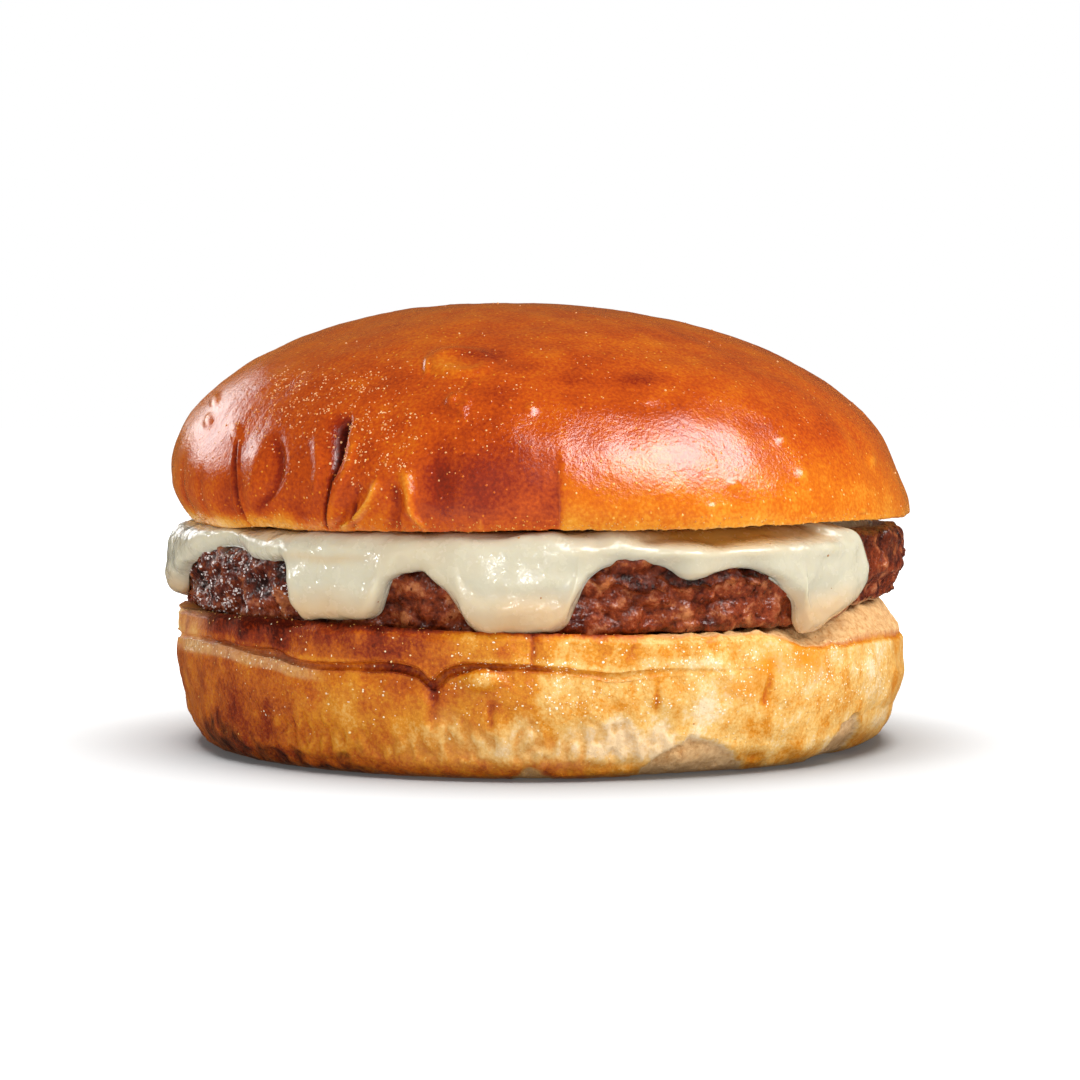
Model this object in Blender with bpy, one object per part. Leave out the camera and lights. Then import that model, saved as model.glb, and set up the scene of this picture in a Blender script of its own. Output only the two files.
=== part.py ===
"""A cheeseburger: a glazed crown, one melted slice of cheese, a ground beef patty and a heel.

Blender script, metres, +Z up, the front towards -Y. The origin is the middle of the box that the
burger fills, at the surface that it stands on. Angles run round +Z: 0 is the right, 90 the back,
180 the left and -90 the front.

Each food is one closed solid made from a UV sphere: the sphere's rings, from its top pole to its
bottom one, become the piece's section, and its meridians go round the burger. The pieces rest on
each other with a gap of GAP.
"""

import math

import bmesh
import bpy
from mathutils import Vector

MM = 0.001

# Driving dimensions.
BURGER_HEIGHT = 61.6 * MM
BUN_RADIUS = 52.4 * MM
HEEL_HEIGHT = 18.9 * MM
PATTY_THICKNESS = 10.2 * MM
CHEESE_THICKNESS = 1.75 * MM
GAP = 0.3 * MM

# The fillings are a little thicker on the right, so what lies on the heel slopes up towards +X.
SLOPE = 0.0105

# The heel's cut face sinks towards the front and is cupped, so that it rises to the left and right.
FACE_PITCH = 0.018
FACE_CUP = 0.7 * MM

# Heights of the layers on the burger's axis, from the bottom up.
PATTY_BASE = HEEL_HEIGHT + GAP
PATTY_TOP = PATTY_BASE + PATTY_THICKNESS
CHEESE_BASE = PATTY_TOP + GAP
CHEESE_TOP = CHEESE_BASE + CHEESE_THICKNESS
CROWN_BASE = CHEESE_TOP + GAP

# Crown: a dome whose highest point is left of the middle, curling in under its widest line. A
# shoulder of 1 is a quarter of an ellipse, more is slimmer.
CROWN_APEX_X = -4.0 * MM
CROWN_RADII = ((0, 52.3), (90, 51.4), (180, 52.0), (270, 51.6))
CROWN_SHOULDERS = ((0, 1.05), (90, 1.0), (180, 0.96), (270, 1.02))
CROWN_CURL_HEIGHTS = ((0, 1.4), (90, 4.2), (180, 6.2), (225, 4.8), (270, 3.2), (315, 1.8))
CROWN_CURL_INSETS = ((0, 0.1), (90, 1.8), (180, 3.4), (225, 2.2), (270, 1.1), (315, 0.3))
CROWN_HOLLOW = 0.25 * MM

# Folds pressed into the crown's side above its cut edge: angle, half width in degrees, depth,
# and how far the fold runs up the side. A negative depth stands out as a small pillow.
CROWN_FOLDS = (
    (220.5, 3.0, 1.1, 11.0),
    (224.8, 4.6, -0.9, 10.5),
    (230.5, 3.4, 1.3, 12.5),
    (240.5, 3.6, 2.0, 13.5),
    (246.5, 3.4, -0.8, 8.0),
    (256.5, 7.0, 0.9, 12.0),
)

# Patty: the radius of its side, and how the side leans in towards its foot.
PATTY_RADII = (
    (0, 51.2),
    (50, 49.8),
    (90, 50.3),
    (140, 49.6),
    (180, 50.3),
    (225, 49.8),
    (270, 49.4),
    (315, 50.2),
)
PATTY_SHOULDER = 2.8 * MM
PATTY_FOOT = 2.4 * MM
PATTY_LEAN = 1.4 * MM

# How far the cheese reaches down the patty, measured along the patty's section from where its top
# face ends: below 0 the slice ends on the top face, and from 4.7 it hangs down the side.
CHEESE_EDGE = (
    (-28.0, -1.0),
    (-32.0, 2.4),
    (-34.5, 6.0),
    (-38.0, 7.6),
    (-43.0, 9.3),
    (-47.0, 11.6),
    (-49.3, 12.4),
    (-51.2, 10.2),
    (-53.6, 7.0),
    (-58.5, 4.6),
    (-63.5, 4.8),
    (-68.0, 5.3),
    (-75.0, 3.7),
    (-80.5, 4.2),
    (-83.8, 7.0),
    (-86.0, 10.6),
    (-89.0, 12.0),
    (-97.5, 11.9),
    (-101.6, 10.6),
    (-104.6, 7.2),
    (-107.8, 4.9),
    (-111.4, 5.8),
    (-114.0, 8.8),
    (-116.4, 10.7),
    (-126.6, 10.9),
    (-129.2, 9.4),
    (-131.0, 5.6),
    (-133.6, 3.4),
    (-139.0, 4.2),
    (-147.0, 2.2),
    (-158.0, 2.4),
    (-165.0, 6.4),
    (-171.0, 11.0),
    (-184.0, 11.6),
    (-192.0, 8.2),
    (-203.0, 4.4),
    (-214.0, 5.6),
    (-223.0, 10.6),
    (-236.0, 11.2),
    (-243.0, 7.0),
    (-252.0, 3.6),
    (-266.0, 5.0),
    (-277.0, 9.2),
    (-286.0, 9.8),
    (-294.0, 5.2),
    (-305.0, 3.2),
    (-316.0, 7.8),
    (-324.0, 10.4),
    (-333.0, 7.2),
    (-341.0, 3.2),
    (-352.0, -1.4),
    (-384.0, -1.8),
)

# The melted edge is rounded over this much of the slice's reach.
CHEESE_ROUNDING = 1.6 * MM

# The drips stand this much further off the patty half way down, where they bridge its shoulder.
CHEESE_BRIDGE = 0.5 * MM

# The cheese is flat from the axis out to this reach.
CHEESE_SHELF = -4.0 * MM

# Heel: the crust's upper edge, lower on the right where the cut face slopes off to it, and the
# crease below its upper lip, which fades out on the right.
HEEL_RADII = ((0, 51.5), (90, 51.0), (180, 51.8), (225, 51.6), (270, 51.4), (315, 51.2))
HEEL_EDGE_HEIGHTS = (
    (0, 15.9),
    (40, 17.2),
    (90, 18.6),
    (140, 18.9),
    (180, 19.1),
    (225, 19.8),
    (270, 18.7),
    (290, 17.8),
    (315, 16.2),
)
HEEL_CREASE_HEIGHTS = (
    (0, 10.0),
    (90, 11.5),
    (140, 11.0),
    (180, 10.5),
    (215, 16.4),
    (240, 15.0),
    (262, 13.4),
    (285, 14.4),
    (315, 13.0),
)
HEEL_CREASE_DEPTHS = (
    (0, 0.0),
    (90, 0.5),
    (140, 1.0),
    (180, 0.9),
    (215, 1.3),
    (240, 1.5),
    (262, 1.6),
    (285, 0.9),
    (305, 0.0),
)
HEEL_FOOT_INSETS = (
    (0, 6.0),
    (90, 5.0),
    (180, 6.4),
    (232, 5.2),
    (270, 5.0),
    (292, 6.4),
    (312, 5.8),
    (332, 7.4),
)
HEEL_FOOT_HEIGHTS = (
    (0, 5.6),
    (90, 4.0),
    (180, 6.4),
    (232, 3.8),
    (270, 3.0),
    (292, 5.0),
    (312, 3.8),
    (332, 6.2),
)

# The cut face ends and slopes off this far inside the heel's side, the lip is rounded over this
# width, the side leans in by this much down to the foot, and the crease opens out again over this
# share of the side.
HEEL_SLOPE_WIDTH = 4.6 * MM
HEEL_LIP_WIDTH = 0.9 * MM
HEEL_LEAN = 1.3 * MM
HEEL_CREASE_SHARE = 0.4

# Rings of each piece's section, by stretch, and how many meridians go round it.
CROWN_RINGS = {"dome": 12, "curl": 3, "face": 3}
CHEESE_RINGS = {"top": 1, "edge": 7, "hang": 8, "under": 1}
PATTY_RINGS = {"top": 2, "shoulder": 3, "side": 3, "foot": 2, "base": 2}
HEEL_RINGS = {"face": 2, "slope": 3, "lip": 3, "side": 5, "foot": 3, "base": 2}
CROWN_MERIDIANS = 64
CHEESE_MERIDIANS = 128
PATTY_MERIDIANS = 72
HEEL_MERIDIANS = 56

# Meridians gather at the front, where the folds and drips are finest.
FRONT = math.radians(-110.0)
GATHERING = 0.6
LOOKUP_STEPS = 1440

# Creases sharper than this stay sharp in a shaded view.
SHARP_ANGLE = math.radians(50.0)


def eased(share):
    """Smooth step of a share from 0 to 1."""
    share = min(max(share, 0.0), 1.0)
    return share * share * (3.0 - 2.0 * share)


def around(angle, knots):
    """The value at an angle of a smooth closed line through (degrees, millimetres) knots, in metres.

    The slope at each knot is limited to its neighbours' rise, so the line never overshoots them.
    """
    knots = sorted((degrees % 360.0, value) for degrees, value in knots)
    count = len(knots)
    spans = [(knots[(i + 1) % count][0] - knots[i][0]) % 360.0 for i in range(count)]
    rises = [(knots[(i + 1) % count][1] - knots[i][1]) / spans[i] for i in range(count)]
    degrees = math.degrees(angle) % 360.0
    index = max((i for i in range(count) if knots[i][0] <= degrees), default=count - 1)

    def slope(i):
        before, after = rises[(i - 1) % count], rises[i % count]
        return 0.0 if before * after <= 0.0 else 2.0 * before * after / (before + after)

    span = spans[index]
    t = ((degrees - knots[index][0]) % 360.0) / span
    start, end = knots[index][1], knots[(index + 1) % count][1]
    value = (
        start * (1 + 2 * t) * (1 - t) ** 2
        + slope(index) * span * t * (1 - t) ** 2
        + end * t * t * (3 - 2 * t)
        + slope(index + 1) * span * t * t * (t - 1)
    )
    return value * MM


def bulge(angle, centre_degrees, half_width_degrees):
    """A rounded rise of 1 at the centre angle that falls to 0 at the half width."""
    away = (math.degrees(angle) - centre_degrees + 180.0) % 360.0 - 180.0
    share = min(abs(away) / half_width_degrees, 1.0)
    return math.cos(0.5 * math.pi * share) ** 2


def stretch_of(ring, rings):
    """Which stretch of a section a ring lies in, and its share from 0 to 1 of the way along it."""
    for name, count in rings.items():
        if ring <= count:
            return name, ring / count
        ring -= count


def tilted(height, x):
    """The height of a level of the fillings at a distance x to the right of the axis."""
    return height + SLOPE * x


def face_height(x, y):
    """The height of the heel's cut face."""
    return HEEL_HEIGHT + FACE_PITCH * y + FACE_CUP * (x / BUN_RADIUS) ** 2


def on_ray(radius, angle):
    """The point at a radius and an angle round the axis, seen from above."""
    return Vector((radius * math.cos(angle), radius * math.sin(angle)))


def front_density(angle):
    """How densely meridians stand round a piece: most at the front."""
    return 1.0 + GATHERING * math.cos(angle - FRONT)


def drip_density(angle):
    """As front_density, but meridians also gather where the cheese's edge is steep."""
    step = 2.0 * math.pi / LOOKUP_STEPS
    climb = (around(angle + step, CHEESE_EDGE) - around(angle - step, CHEESE_EDGE)) / (2.0 * step)
    return front_density(angle) * math.hypot(1.0, climb / BUN_RADIUS)


def spread(meridians, density):
    """The angles of a piece's meridians, so that as much density lies between each and the next."""
    angles = [2.0 * math.pi * i / LOOKUP_STEPS for i in range(LOOKUP_STEPS + 1)]
    sums = [0.0]
    for angle in angles[:-1]:
        sums.append(sums[-1] + density(angle))
    found, index = [], 0
    for meridian in range(meridians):
        wanted = sums[-1] * meridian / meridians
        while sums[index + 1] < wanted:
            index += 1
        share = (wanted - sums[index]) / (sums[index + 1] - sums[index])
        found.append(angles[index] + share * (angles[1] - angles[0]))
    return found


def shaped(name, rings, meridians, density, place):
    """A mesh object from a UV sphere whose vertices place(stretch, share, angle) puts where they go."""
    angles = spread(meridians, density)
    form = bmesh.new()
    bmesh.ops.create_uvsphere(form, u_segments=meridians, v_segments=sum(rings.values()), radius=1.0)
    for vertex in form.verts:
        ring = round(sum(rings.values()) * math.acos(max(-1.0, min(1.0, vertex.co.z))) / math.pi)
        meridian = round(meridians * math.atan2(vertex.co.y, vertex.co.x) / (2.0 * math.pi))
        stretch, along = stretch_of(ring, rings)
        vertex.co = place(stretch, along, angles[meridian % meridians])
    bmesh.ops.recalc_face_normals(form, faces=form.faces)
    mesh = bpy.data.meshes.new(name)
    form.to_mesh(mesh)
    form.free()
    piece = bpy.data.objects.new(name, mesh)
    mesh.shade_smooth()
    mesh.set_sharp_from_angle(angle=SHARP_ANGLE)
    return piece


def crown_fold(angle, height):
    """How far the folds press the crown's side in at a height above its cut edge."""
    depth = 0.0
    for centre, half_width, fold_depth, reach in CROWN_FOLDS:
        fading = 1.0 - eased(height / (reach * MM))
        depth += fold_depth * MM * bulge(angle, centre, half_width) * fading
    return depth


def crown_place(stretch, along, angle):
    """A point of the crown: the dome, the curl below its widest line, then the cut face."""
    radius = around(angle, CROWN_RADII)
    curl = around(angle, CROWN_CURL_HEIGHTS)
    rim_radius = radius - around(angle, CROWN_CURL_INSETS)
    cut = tilted(CROWN_BASE, radius * math.cos(angle))
    if stretch == "dome":
        turn = 0.5 * math.pi * along
        apex = Vector((CROWN_APEX_X, 0.0))
        flat = apex.lerp(on_ray(radius, angle), math.sin(turn))
        rise = math.cos(turn) ** (around(angle, CROWN_SHOULDERS) / MM)
        height = cut + curl + (BURGER_HEIGHT - cut - curl) * rise
    elif stretch == "curl":
        flat = on_ray(radius + (rim_radius - radius) * along * along, angle)
        height = cut + curl * (1.0 - along)
    else:
        reach = rim_radius - crown_fold(angle, 0.0)
        flat = on_ray(reach * (1.0 - along), angle)
        height = tilted(CROWN_BASE, flat.x) + CROWN_HOLLOW * math.sin(math.pi * along)
        return Vector((flat.x, flat.y, height))
    flat -= on_ray(crown_fold(angle, height - cut), angle)
    return Vector((flat.x, flat.y, height))


def patty_side(angle, depth):
    """The radius of the patty's side at a depth below its shoulder, which leans in towards the foot."""
    side_height = PATTY_THICKNESS - PATTY_SHOULDER - PATTY_FOOT
    return around(angle, PATTY_RADII) - PATTY_LEAN * eased(depth / (side_height + PATTY_FOOT))


def patty_level(drop, x, y):
    """The height at a drop below the patty's top face, whose base follows the heel's cut face."""
    base = face_height(x, y) + GAP
    return base + (tilted(PATTY_TOP, x) - base) * (1.0 - drop / PATTY_THICKNESS)


def patty_place(stretch, along, angle):
    """A point of the patty: its top face, rounded shoulder, side, rounded foot and base."""
    radius = around(angle, PATTY_RADII)
    side_height = PATTY_THICKNESS - PATTY_SHOULDER - PATTY_FOOT
    foot_radius = patty_side(angle, side_height)
    if stretch == "top":
        reach, drop = (radius - PATTY_SHOULDER) * along, 0.0
    elif stretch == "shoulder":
        turn = 0.5 * math.pi * along
        reach = radius - PATTY_SHOULDER * (1.0 - math.sin(turn))
        drop = PATTY_SHOULDER * (1.0 - math.cos(turn))
    elif stretch == "side":
        drop = PATTY_SHOULDER + side_height * along
        reach = patty_side(angle, drop - PATTY_SHOULDER)
    elif stretch == "foot":
        turn = 0.5 * math.pi * along
        reach = foot_radius - PATTY_FOOT * (1.0 - math.cos(turn))
        drop = PATTY_THICKNESS - PATTY_FOOT * (1.0 - math.sin(turn))
    else:
        reach, drop = (foot_radius - PATTY_FOOT) * (1.0 - along), PATTY_THICKNESS
    flat = on_ray(reach, angle)
    return Vector((flat.x, flat.y, patty_level(drop, flat.x, flat.y)))


def draped(angle, reach, lift):
    """A point at a lift off the patty, a reach along its section from where its top face ends."""
    radius = around(angle, PATTY_RADII)
    shoulder = PATTY_SHOULDER + lift
    arc = 0.5 * math.pi * (PATTY_SHOULDER + GAP)
    if reach <= 0.0:
        out, drop = radius - PATTY_SHOULDER + reach, -lift
    elif reach <= arc:
        turn = 0.5 * math.pi * reach / arc
        out = radius - PATTY_SHOULDER + shoulder * math.sin(turn)
        drop = PATTY_SHOULDER - shoulder * math.cos(turn)
    else:
        drop = PATTY_SHOULDER + reach - arc
        out = patty_side(angle, reach - arc) + lift
    flat = on_ray(out, angle)
    height = tilted(PATTY_TOP, flat.x) - drop if drop < 0.0 else patty_level(drop, flat.x, flat.y)
    return Vector((flat.x, flat.y, height))


def cheese_place(stretch, along, angle):
    """A point of the cheese: its upper side out to the melted edge, then back underneath."""
    edge = around(angle, CHEESE_EDGE)
    inner_reach = -(around(angle, PATTY_RADII) - PATTY_SHOULDER)
    if stretch == "top":
        return draped(angle, inner_reach + (CHEESE_SHELF - inner_reach) * along, GAP + CHEESE_THICKNESS)
    if stretch == "edge":
        reach = CHEESE_SHELF + (edge - CHEESE_SHELF) * math.sin(0.5 * math.pi * along)
        rounded = min(1.0, (edge - reach) / CHEESE_ROUNDING)
        lift = GAP + CHEESE_THICKNESS * math.sqrt(max(0.0, 1.0 - (1.0 - rounded) ** 2))
        return draped(angle, reach, lift)
    if stretch == "hang":
        lift = GAP + CHEESE_BRIDGE * math.sin(math.pi * along)
        return draped(angle, edge + (CHEESE_SHELF - edge) * along, lift)
    return draped(angle, CHEESE_SHELF + (inner_reach - CHEESE_SHELF) * along, GAP)


def heel_place(stretch, along, angle):
    """A point of the heel: cut face, slope to the crust's edge, lip, side, rounded foot and base."""
    radius = around(angle, HEEL_RADII)
    edge_height = around(angle, HEEL_EDGE_HEIGHTS)
    crease_height = around(angle, HEEL_CREASE_HEIGHTS)
    crease_depth = around(angle, HEEL_CREASE_DEPTHS)
    foot_inset = around(angle, HEEL_FOOT_INSETS)
    foot_height = around(angle, HEEL_FOOT_HEIGHTS)
    face_radius = radius - HEEL_SLOPE_WIDTH
    rim_radius = radius - HEEL_LIP_WIDTH
    foot_radius = radius - HEEL_LEAN
    if stretch == "face":
        flat = on_ray(face_radius * along, angle)
        height = face_height(flat.x, flat.y)
    elif stretch == "slope":
        flat = on_ray(face_radius + (rim_radius - face_radius) * along, angle)
        height = face_height(flat.x, flat.y) * (1.0 - eased(along)) + edge_height * eased(along)
    elif stretch == "lip":
        rounded = HEEL_LIP_WIDTH * math.sin(0.5 * math.pi * along)
        flat = on_ray(rim_radius + rounded - crease_depth * eased(2.0 * along - 1.0), angle)
        height = edge_height + (crease_height - edge_height) * along
    elif stretch == "side":
        crease = crease_depth * (1.0 - eased(along / HEEL_CREASE_SHARE))
        flat = on_ray(radius - crease - HEEL_LEAN * along * along, angle)
        height = crease_height + (foot_height - crease_height) * along
    elif stretch == "foot":
        turn = 0.5 * math.pi * along
        flat = on_ray(foot_radius - foot_inset * (1.0 - math.cos(turn)), angle)
        height = foot_height * (1.0 - math.sin(turn))
    else:
        flat, height = on_ray((foot_radius - foot_inset) * (1.0 - along), angle), 0.0
    return Vector((flat.x, flat.y, height))


def baked(name, colour, roughness):
    """A food's material: its colour as linear red, green and blue, and its roughness."""
    material = bpy.data.materials.new(name)
    material.use_nodes = True
    surface = material.node_tree.nodes["Principled BSDF"]
    surface.inputs["Base Color"].default_value = (*colour, 1.0)
    surface.inputs["Roughness"].default_value = roughness
    surface.inputs["Metallic"].default_value = 0.0
    material.diffuse_color = (*colour, 1.0)
    return material


def main():
    """Builds the four foods, from the top down, in one collection."""
    for leftover in list(bpy.data.objects):
        bpy.data.objects.remove(leftover)
    burger = bpy.data.collections.new("cheeseburger")
    bpy.context.scene.collection.children.link(burger)
    foods = (
        shaped("crown", CROWN_RINGS, CROWN_MERIDIANS, front_density, crown_place),
        shaped("cheese", CHEESE_RINGS, CHEESE_MERIDIANS, drip_density, cheese_place),
        shaped("patty", PATTY_RINGS, PATTY_MERIDIANS, front_density, patty_place),
        shaped("heel", HEEL_RINGS, HEEL_MERIDIANS, front_density, heel_place),
    )
    finishes = (
        baked("glazed_crust", (0.56, 0.13, 0.012), 0.28),
        baked("melted_cheese", (0.82, 0.75, 0.55), 0.3),
        baked("seared_beef", (0.16, 0.035, 0.014), 0.4),
        baked("golden_crust", (0.74, 0.36, 0.08), 0.5),
    )
    for piece, finish in zip(foods, finishes):
        piece.data.materials.append(finish)
        burger.objects.link(piece)


main()
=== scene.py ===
"""The looks of a cheeseburger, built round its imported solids: crown, cheese, patty and heel.

Inside the classes lengths are millimetres, and they become metres where a mesh is written. Angles
are degrees round +Z: 0 is the right, 90 the back, 180 the left and -90 the front. Each food is one
closed skin: a UV sphere whose rings, from its top pole to its bottom one, become the food's section
and whose meridians go round the burger, as in its solid, with the fine forms pressed in afterwards.
"""

import logging
import math
from dataclasses import dataclass, field
from enum import Enum

import bmesh
import bpy
import numpy as np
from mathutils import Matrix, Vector


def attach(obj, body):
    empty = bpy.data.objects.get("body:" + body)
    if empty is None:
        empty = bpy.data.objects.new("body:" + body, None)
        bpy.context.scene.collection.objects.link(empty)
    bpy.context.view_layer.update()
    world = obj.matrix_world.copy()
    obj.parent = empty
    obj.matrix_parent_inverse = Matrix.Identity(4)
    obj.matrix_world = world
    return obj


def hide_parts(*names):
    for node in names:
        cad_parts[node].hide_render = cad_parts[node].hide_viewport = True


MM = 0.001
LOG = logging.getLogger("cheeseburger")

Array = np.ndarray
Knots = tuple[tuple[float, float], ...]
Stops = tuple[tuple[float, str], ...]
Tree, Node, Socket = bpy.types.NodeTree, bpy.types.Node, bpy.types.NodeSocket
Piece, Mesh, Material = bpy.types.Object, bpy.types.Mesh, bpy.types.Material


# ---------------------------------------------------------------------------------------------
# Lines and fields


def eased(share: Array) -> Array:
    """Smooth step of a share from 0 to 1."""
    share = np.clip(share, 0.0, 1.0)
    return share * share * (3.0 - 2.0 * share)


def rising(value: Array, low: float, high: float) -> Array:
    """0 below low, 1 above high and a smooth step between."""
    return eased((value - low) / (high - low))


def window(value: Array, low: float, high: float, fade: float) -> Array:
    """1 between low and high, falling to 0 over the fade at each end."""
    return rising(value, low - fade, low + fade) * (1.0 - rising(value, high - fade, high + fade))


def hump(offset: Array, width: float | Array, power: float = 2.0) -> Array:
    """A rise of 1 at offset 0 that has fallen to 0.37 at the width; a higher power is squarer."""
    return np.exp(-np.abs(offset / width) ** power)


def away(degrees: Array, centre: float | Array) -> Array:
    """The signed angle from the centre, from -180 to 180."""
    return (degrees - centre + 180.0) % 360.0 - 180.0


def around(degrees: Array, knots: Knots) -> Array:
    """The value of a smooth closed line through (degrees, value) knots, which never overshoots.

    Args:
        degrees: the angles wanted.
        knots: angles and the values there, in any order.

    Returns:
        The line's value at each angle, from cubics whose slopes suit their neighbours' rise.
    """
    at, values = np.array(sorted((d % 360.0, v) for d, v in knots)).T
    spans = (np.roll(at, -1) - at) % 360.0
    rises = (np.roll(values, -1) - values) / spans
    before = np.roll(rises, 1)
    total = np.where(before * rises > 0.0, before + rises, 1.0)
    slopes = np.where(before * rises > 0.0, 2.0 * before * rises / total, 0.0)
    degrees = np.asarray(degrees) % 360.0
    start = (np.searchsorted(at, degrees, side="right") - 1) % len(at)
    end = (start + 1) % len(at)
    span = spans[start]
    t = ((degrees - at[start]) % 360.0) / span
    return (
        values[start] * (1.0 + 2.0 * t) * (1.0 - t) ** 2
        + slopes[start] * span * t * (1.0 - t) ** 2
        + values[end] * t * t * (3.0 - 2.0 * t)
        + slopes[end] * span * t * t * (t - 1.0)
    )


def bent(value: Array, knots: Knots) -> Array:
    """The value of a smooth open line through (place, value) knots, level beyond its ends.

    Args:
        value: the places wanted.
        knots: places, in rising order, and the values there.

    Returns:
        The line's value at each place.
    """
    at, values = np.array(knots).T
    slopes = np.gradient(values, at)
    value = np.clip(value, at[0], at[-1])
    start = np.clip(np.searchsorted(at, value, side="right") - 1, 0, len(at) - 2)
    span = at[start + 1] - at[start]
    t = (value - at[start]) / span
    return (
        values[start] * (1.0 + 2.0 * t) * (1.0 - t) ** 2
        + slopes[start] * span * t * (1.0 - t) ** 2
        + values[start + 1] * t * t * (3.0 - 2.0 * t)
        + slopes[start + 1] * span * t * t * (t - 1.0)
    )


def swells(points: Array, grain: float, seed: int, waves: int = 28) -> Array:
    """A smooth random field of about -1 to 1.

    Args:
        points: places, in millimetres, one a row.
        grain: about how far it is from one rise to the next, in millimetres.
        seed: picks the field.
        waves: how many plane waves are summed.

    Returns:
        The field's value at each place.
    """
    draw = np.random.default_rng(seed)
    directions = draw.normal(size=(waves, 3))
    directions /= np.linalg.norm(directions, axis=1, keepdims=True)
    lengths = grain * draw.uniform(0.75, 1.5, size=(waves, 1))
    phases = draw.uniform(0.0, 2.0 * math.pi, size=waves)
    turns = points @ (directions * 2.0 * math.pi / lengths).T + phases
    return np.sin(turns).sum(axis=1) * math.sqrt(1.0 / waves)


def on_ray(radius: Array, degrees: Array) -> tuple[Array, Array]:
    """X and Y at a radius and an angle round the axis."""
    turn = np.radians(degrees)
    return radius * np.cos(turn), radius * np.sin(turn)


# ---------------------------------------------------------------------------------------------
# Nodes


def linear(code: str) -> tuple[float, float, float, float]:
    """A colour written as sRGB hex, such as "#c8682a", as linear red, green, blue and 1.

    Args:
        code: the colour.

    Returns:
        What a socket takes.
    """
    parts = [int(code[i : i + 2], 16) / 255.0 for i in (1, 3, 5)]
    red, green, blue = (p / 12.92 if p <= 0.04045 else ((p + 0.055) / 1.055) ** 2.4 for p in parts)
    return red, green, blue, 1.0


def add(tree: Tree, kind: str, inputs: dict | None = None, **settings: object) -> Node:
    """Adds a node to a tree.

    Args:
        tree: the shader or geometry tree.
        kind: the node's type.
        inputs: for an input's name or number, the value it has or the output it is linked from.
        settings: the node's own settings.

    Returns:
        The node.
    """
    node = tree.nodes.new(kind)
    for name, value in settings.items():
        setattr(node, name, value)
    for key, value in (inputs or {}).items():
        if isinstance(value, Socket):
            tree.links.new(value, node.inputs[key])
        else:
            node.inputs[key].default_value = value
    return node


def reckon(tree: Tree, operation: str, *values: Socket | float) -> Socket:
    """What a math operation makes of its values."""
    return add(tree, "ShaderNodeMath", dict(enumerate(values)), operation=operation).outputs[0]


def fitted(
    tree: Tree,
    value: Socket,
    low: float = 0.0,
    high: float = 1.0,
    at_low: float = 0.0,
    at_high: float = 1.0,
    curve: str = "LINEAR",
) -> Socket:
    """A value that runs from at_low to at_high as another runs from low to high, and stays there.

    Args:
        tree: the shader tree.
        value: the other value.
        low, high: its range.
        at_low, at_high: what is made of the range's ends.
        curve: how the value runs between them.

    Returns:
        The output that holds it.
    """
    inputs = {"Value": value, "From Min": low, "From Max": high, "To Min": at_low, "To Max": at_high}
    return add(tree, "ShaderNodeMapRange", inputs, interpolation_type=curve).outputs["Result"]


def ramp(tree: Tree, fac: Socket, stops: Stops) -> Socket:
    """The colour that a factor picks from a row of (place, sRGB hex) stops.

    Args:
        tree: the shader tree.
        fac: the factor, from 0 to 1.
        stops: the row.

    Returns:
        The output that holds the colour.
    """
    node = add(tree, "ShaderNodeValToRGB", {"Fac": fac})
    row = node.color_ramp.elements
    while len(row) < len(stops):
        row.new(0.5)
    for element, (place, code) in zip(row, stops):
        element.position = place
        element.color = linear(code)
    return node.outputs["Color"]


def sums(tree: Tree, *terms: tuple[Socket, float, float]) -> Socket:
    """The sum of (output - middle) * weight over the (output, middle, weight) terms.

    Args:
        tree: the shader or geometry tree.
        terms: what is summed.

    Returns:
        The output that holds the sum.
    """
    total = None
    for output, middle, weight in terms:
        shifted = reckon(tree, "SUBTRACT", output, middle)
        total = reckon(tree, "MULTIPLY_ADD", shifted, weight, 0.0 if total is None else total)
    return total


def mixed(tree: Tree, fac: Socket, a: object, b: object) -> Socket:
    """Colour a turned into colour b by a factor; each is an output or linear values."""
    return add(tree, "ShaderNodeMix", {0: fac, 6: a, 7: b}, data_type="RGBA").outputs[2]


def read(tree: Tree, name: str) -> Socket:
    """A number that the skin carries at each point."""
    return add(tree, "ShaderNodeAttribute", attribute_name=name).outputs["Fac"]


def named(tree: Tree, name: str) -> Socket:
    """A number that the skin carries at each point, in a geometry tree."""
    return add(tree, "GeometryNodeInputNamedAttribute", {"Name": name}, data_type="FLOAT").outputs[0]


def put(name: str, data: bpy.types.ID) -> Piece:
    """A new object, in the scene.

    Args:
        name: its name.
        data: its mesh, camera or light.

    Returns:
        The object.
    """
    piece = bpy.data.objects.new(name, data)
    bpy.context.scene.collection.objects.link(piece)
    return piece


def triangles(piece: Piece) -> int:
    """How many triangles a piece's faces make."""
    return sum(len(face.vertices) - 2 for face in piece.data.polygons)


def geometry_tree(name: str, numbers: dict[str, float], host: bool = False) -> tuple[Tree, Node]:
    """Starts a geometry tree with named inputs.

    Args:
        name: the tree's name.
        numbers: its inputs and the values they start from.
        host: whether it also takes another object, as its input Host.

    Returns:
        The tree and the node that gives its inputs.
    """
    tree = bpy.data.node_groups.new(name, "GeometryNodeTree")
    face = tree.interface
    face.new_socket("Geometry", in_out="INPUT", socket_type="NodeSocketGeometry")
    face.new_socket("Geometry", in_out="OUTPUT", socket_type="NodeSocketGeometry")
    for title, value in numbers.items():
        face.new_socket(title, in_out="INPUT", socket_type="NodeSocketFloat").default_value = value
    if host:
        face.new_socket("Host", in_out="INPUT", socket_type="NodeSocketObject")
    return tree, add(tree, "NodeGroupInput")


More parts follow.
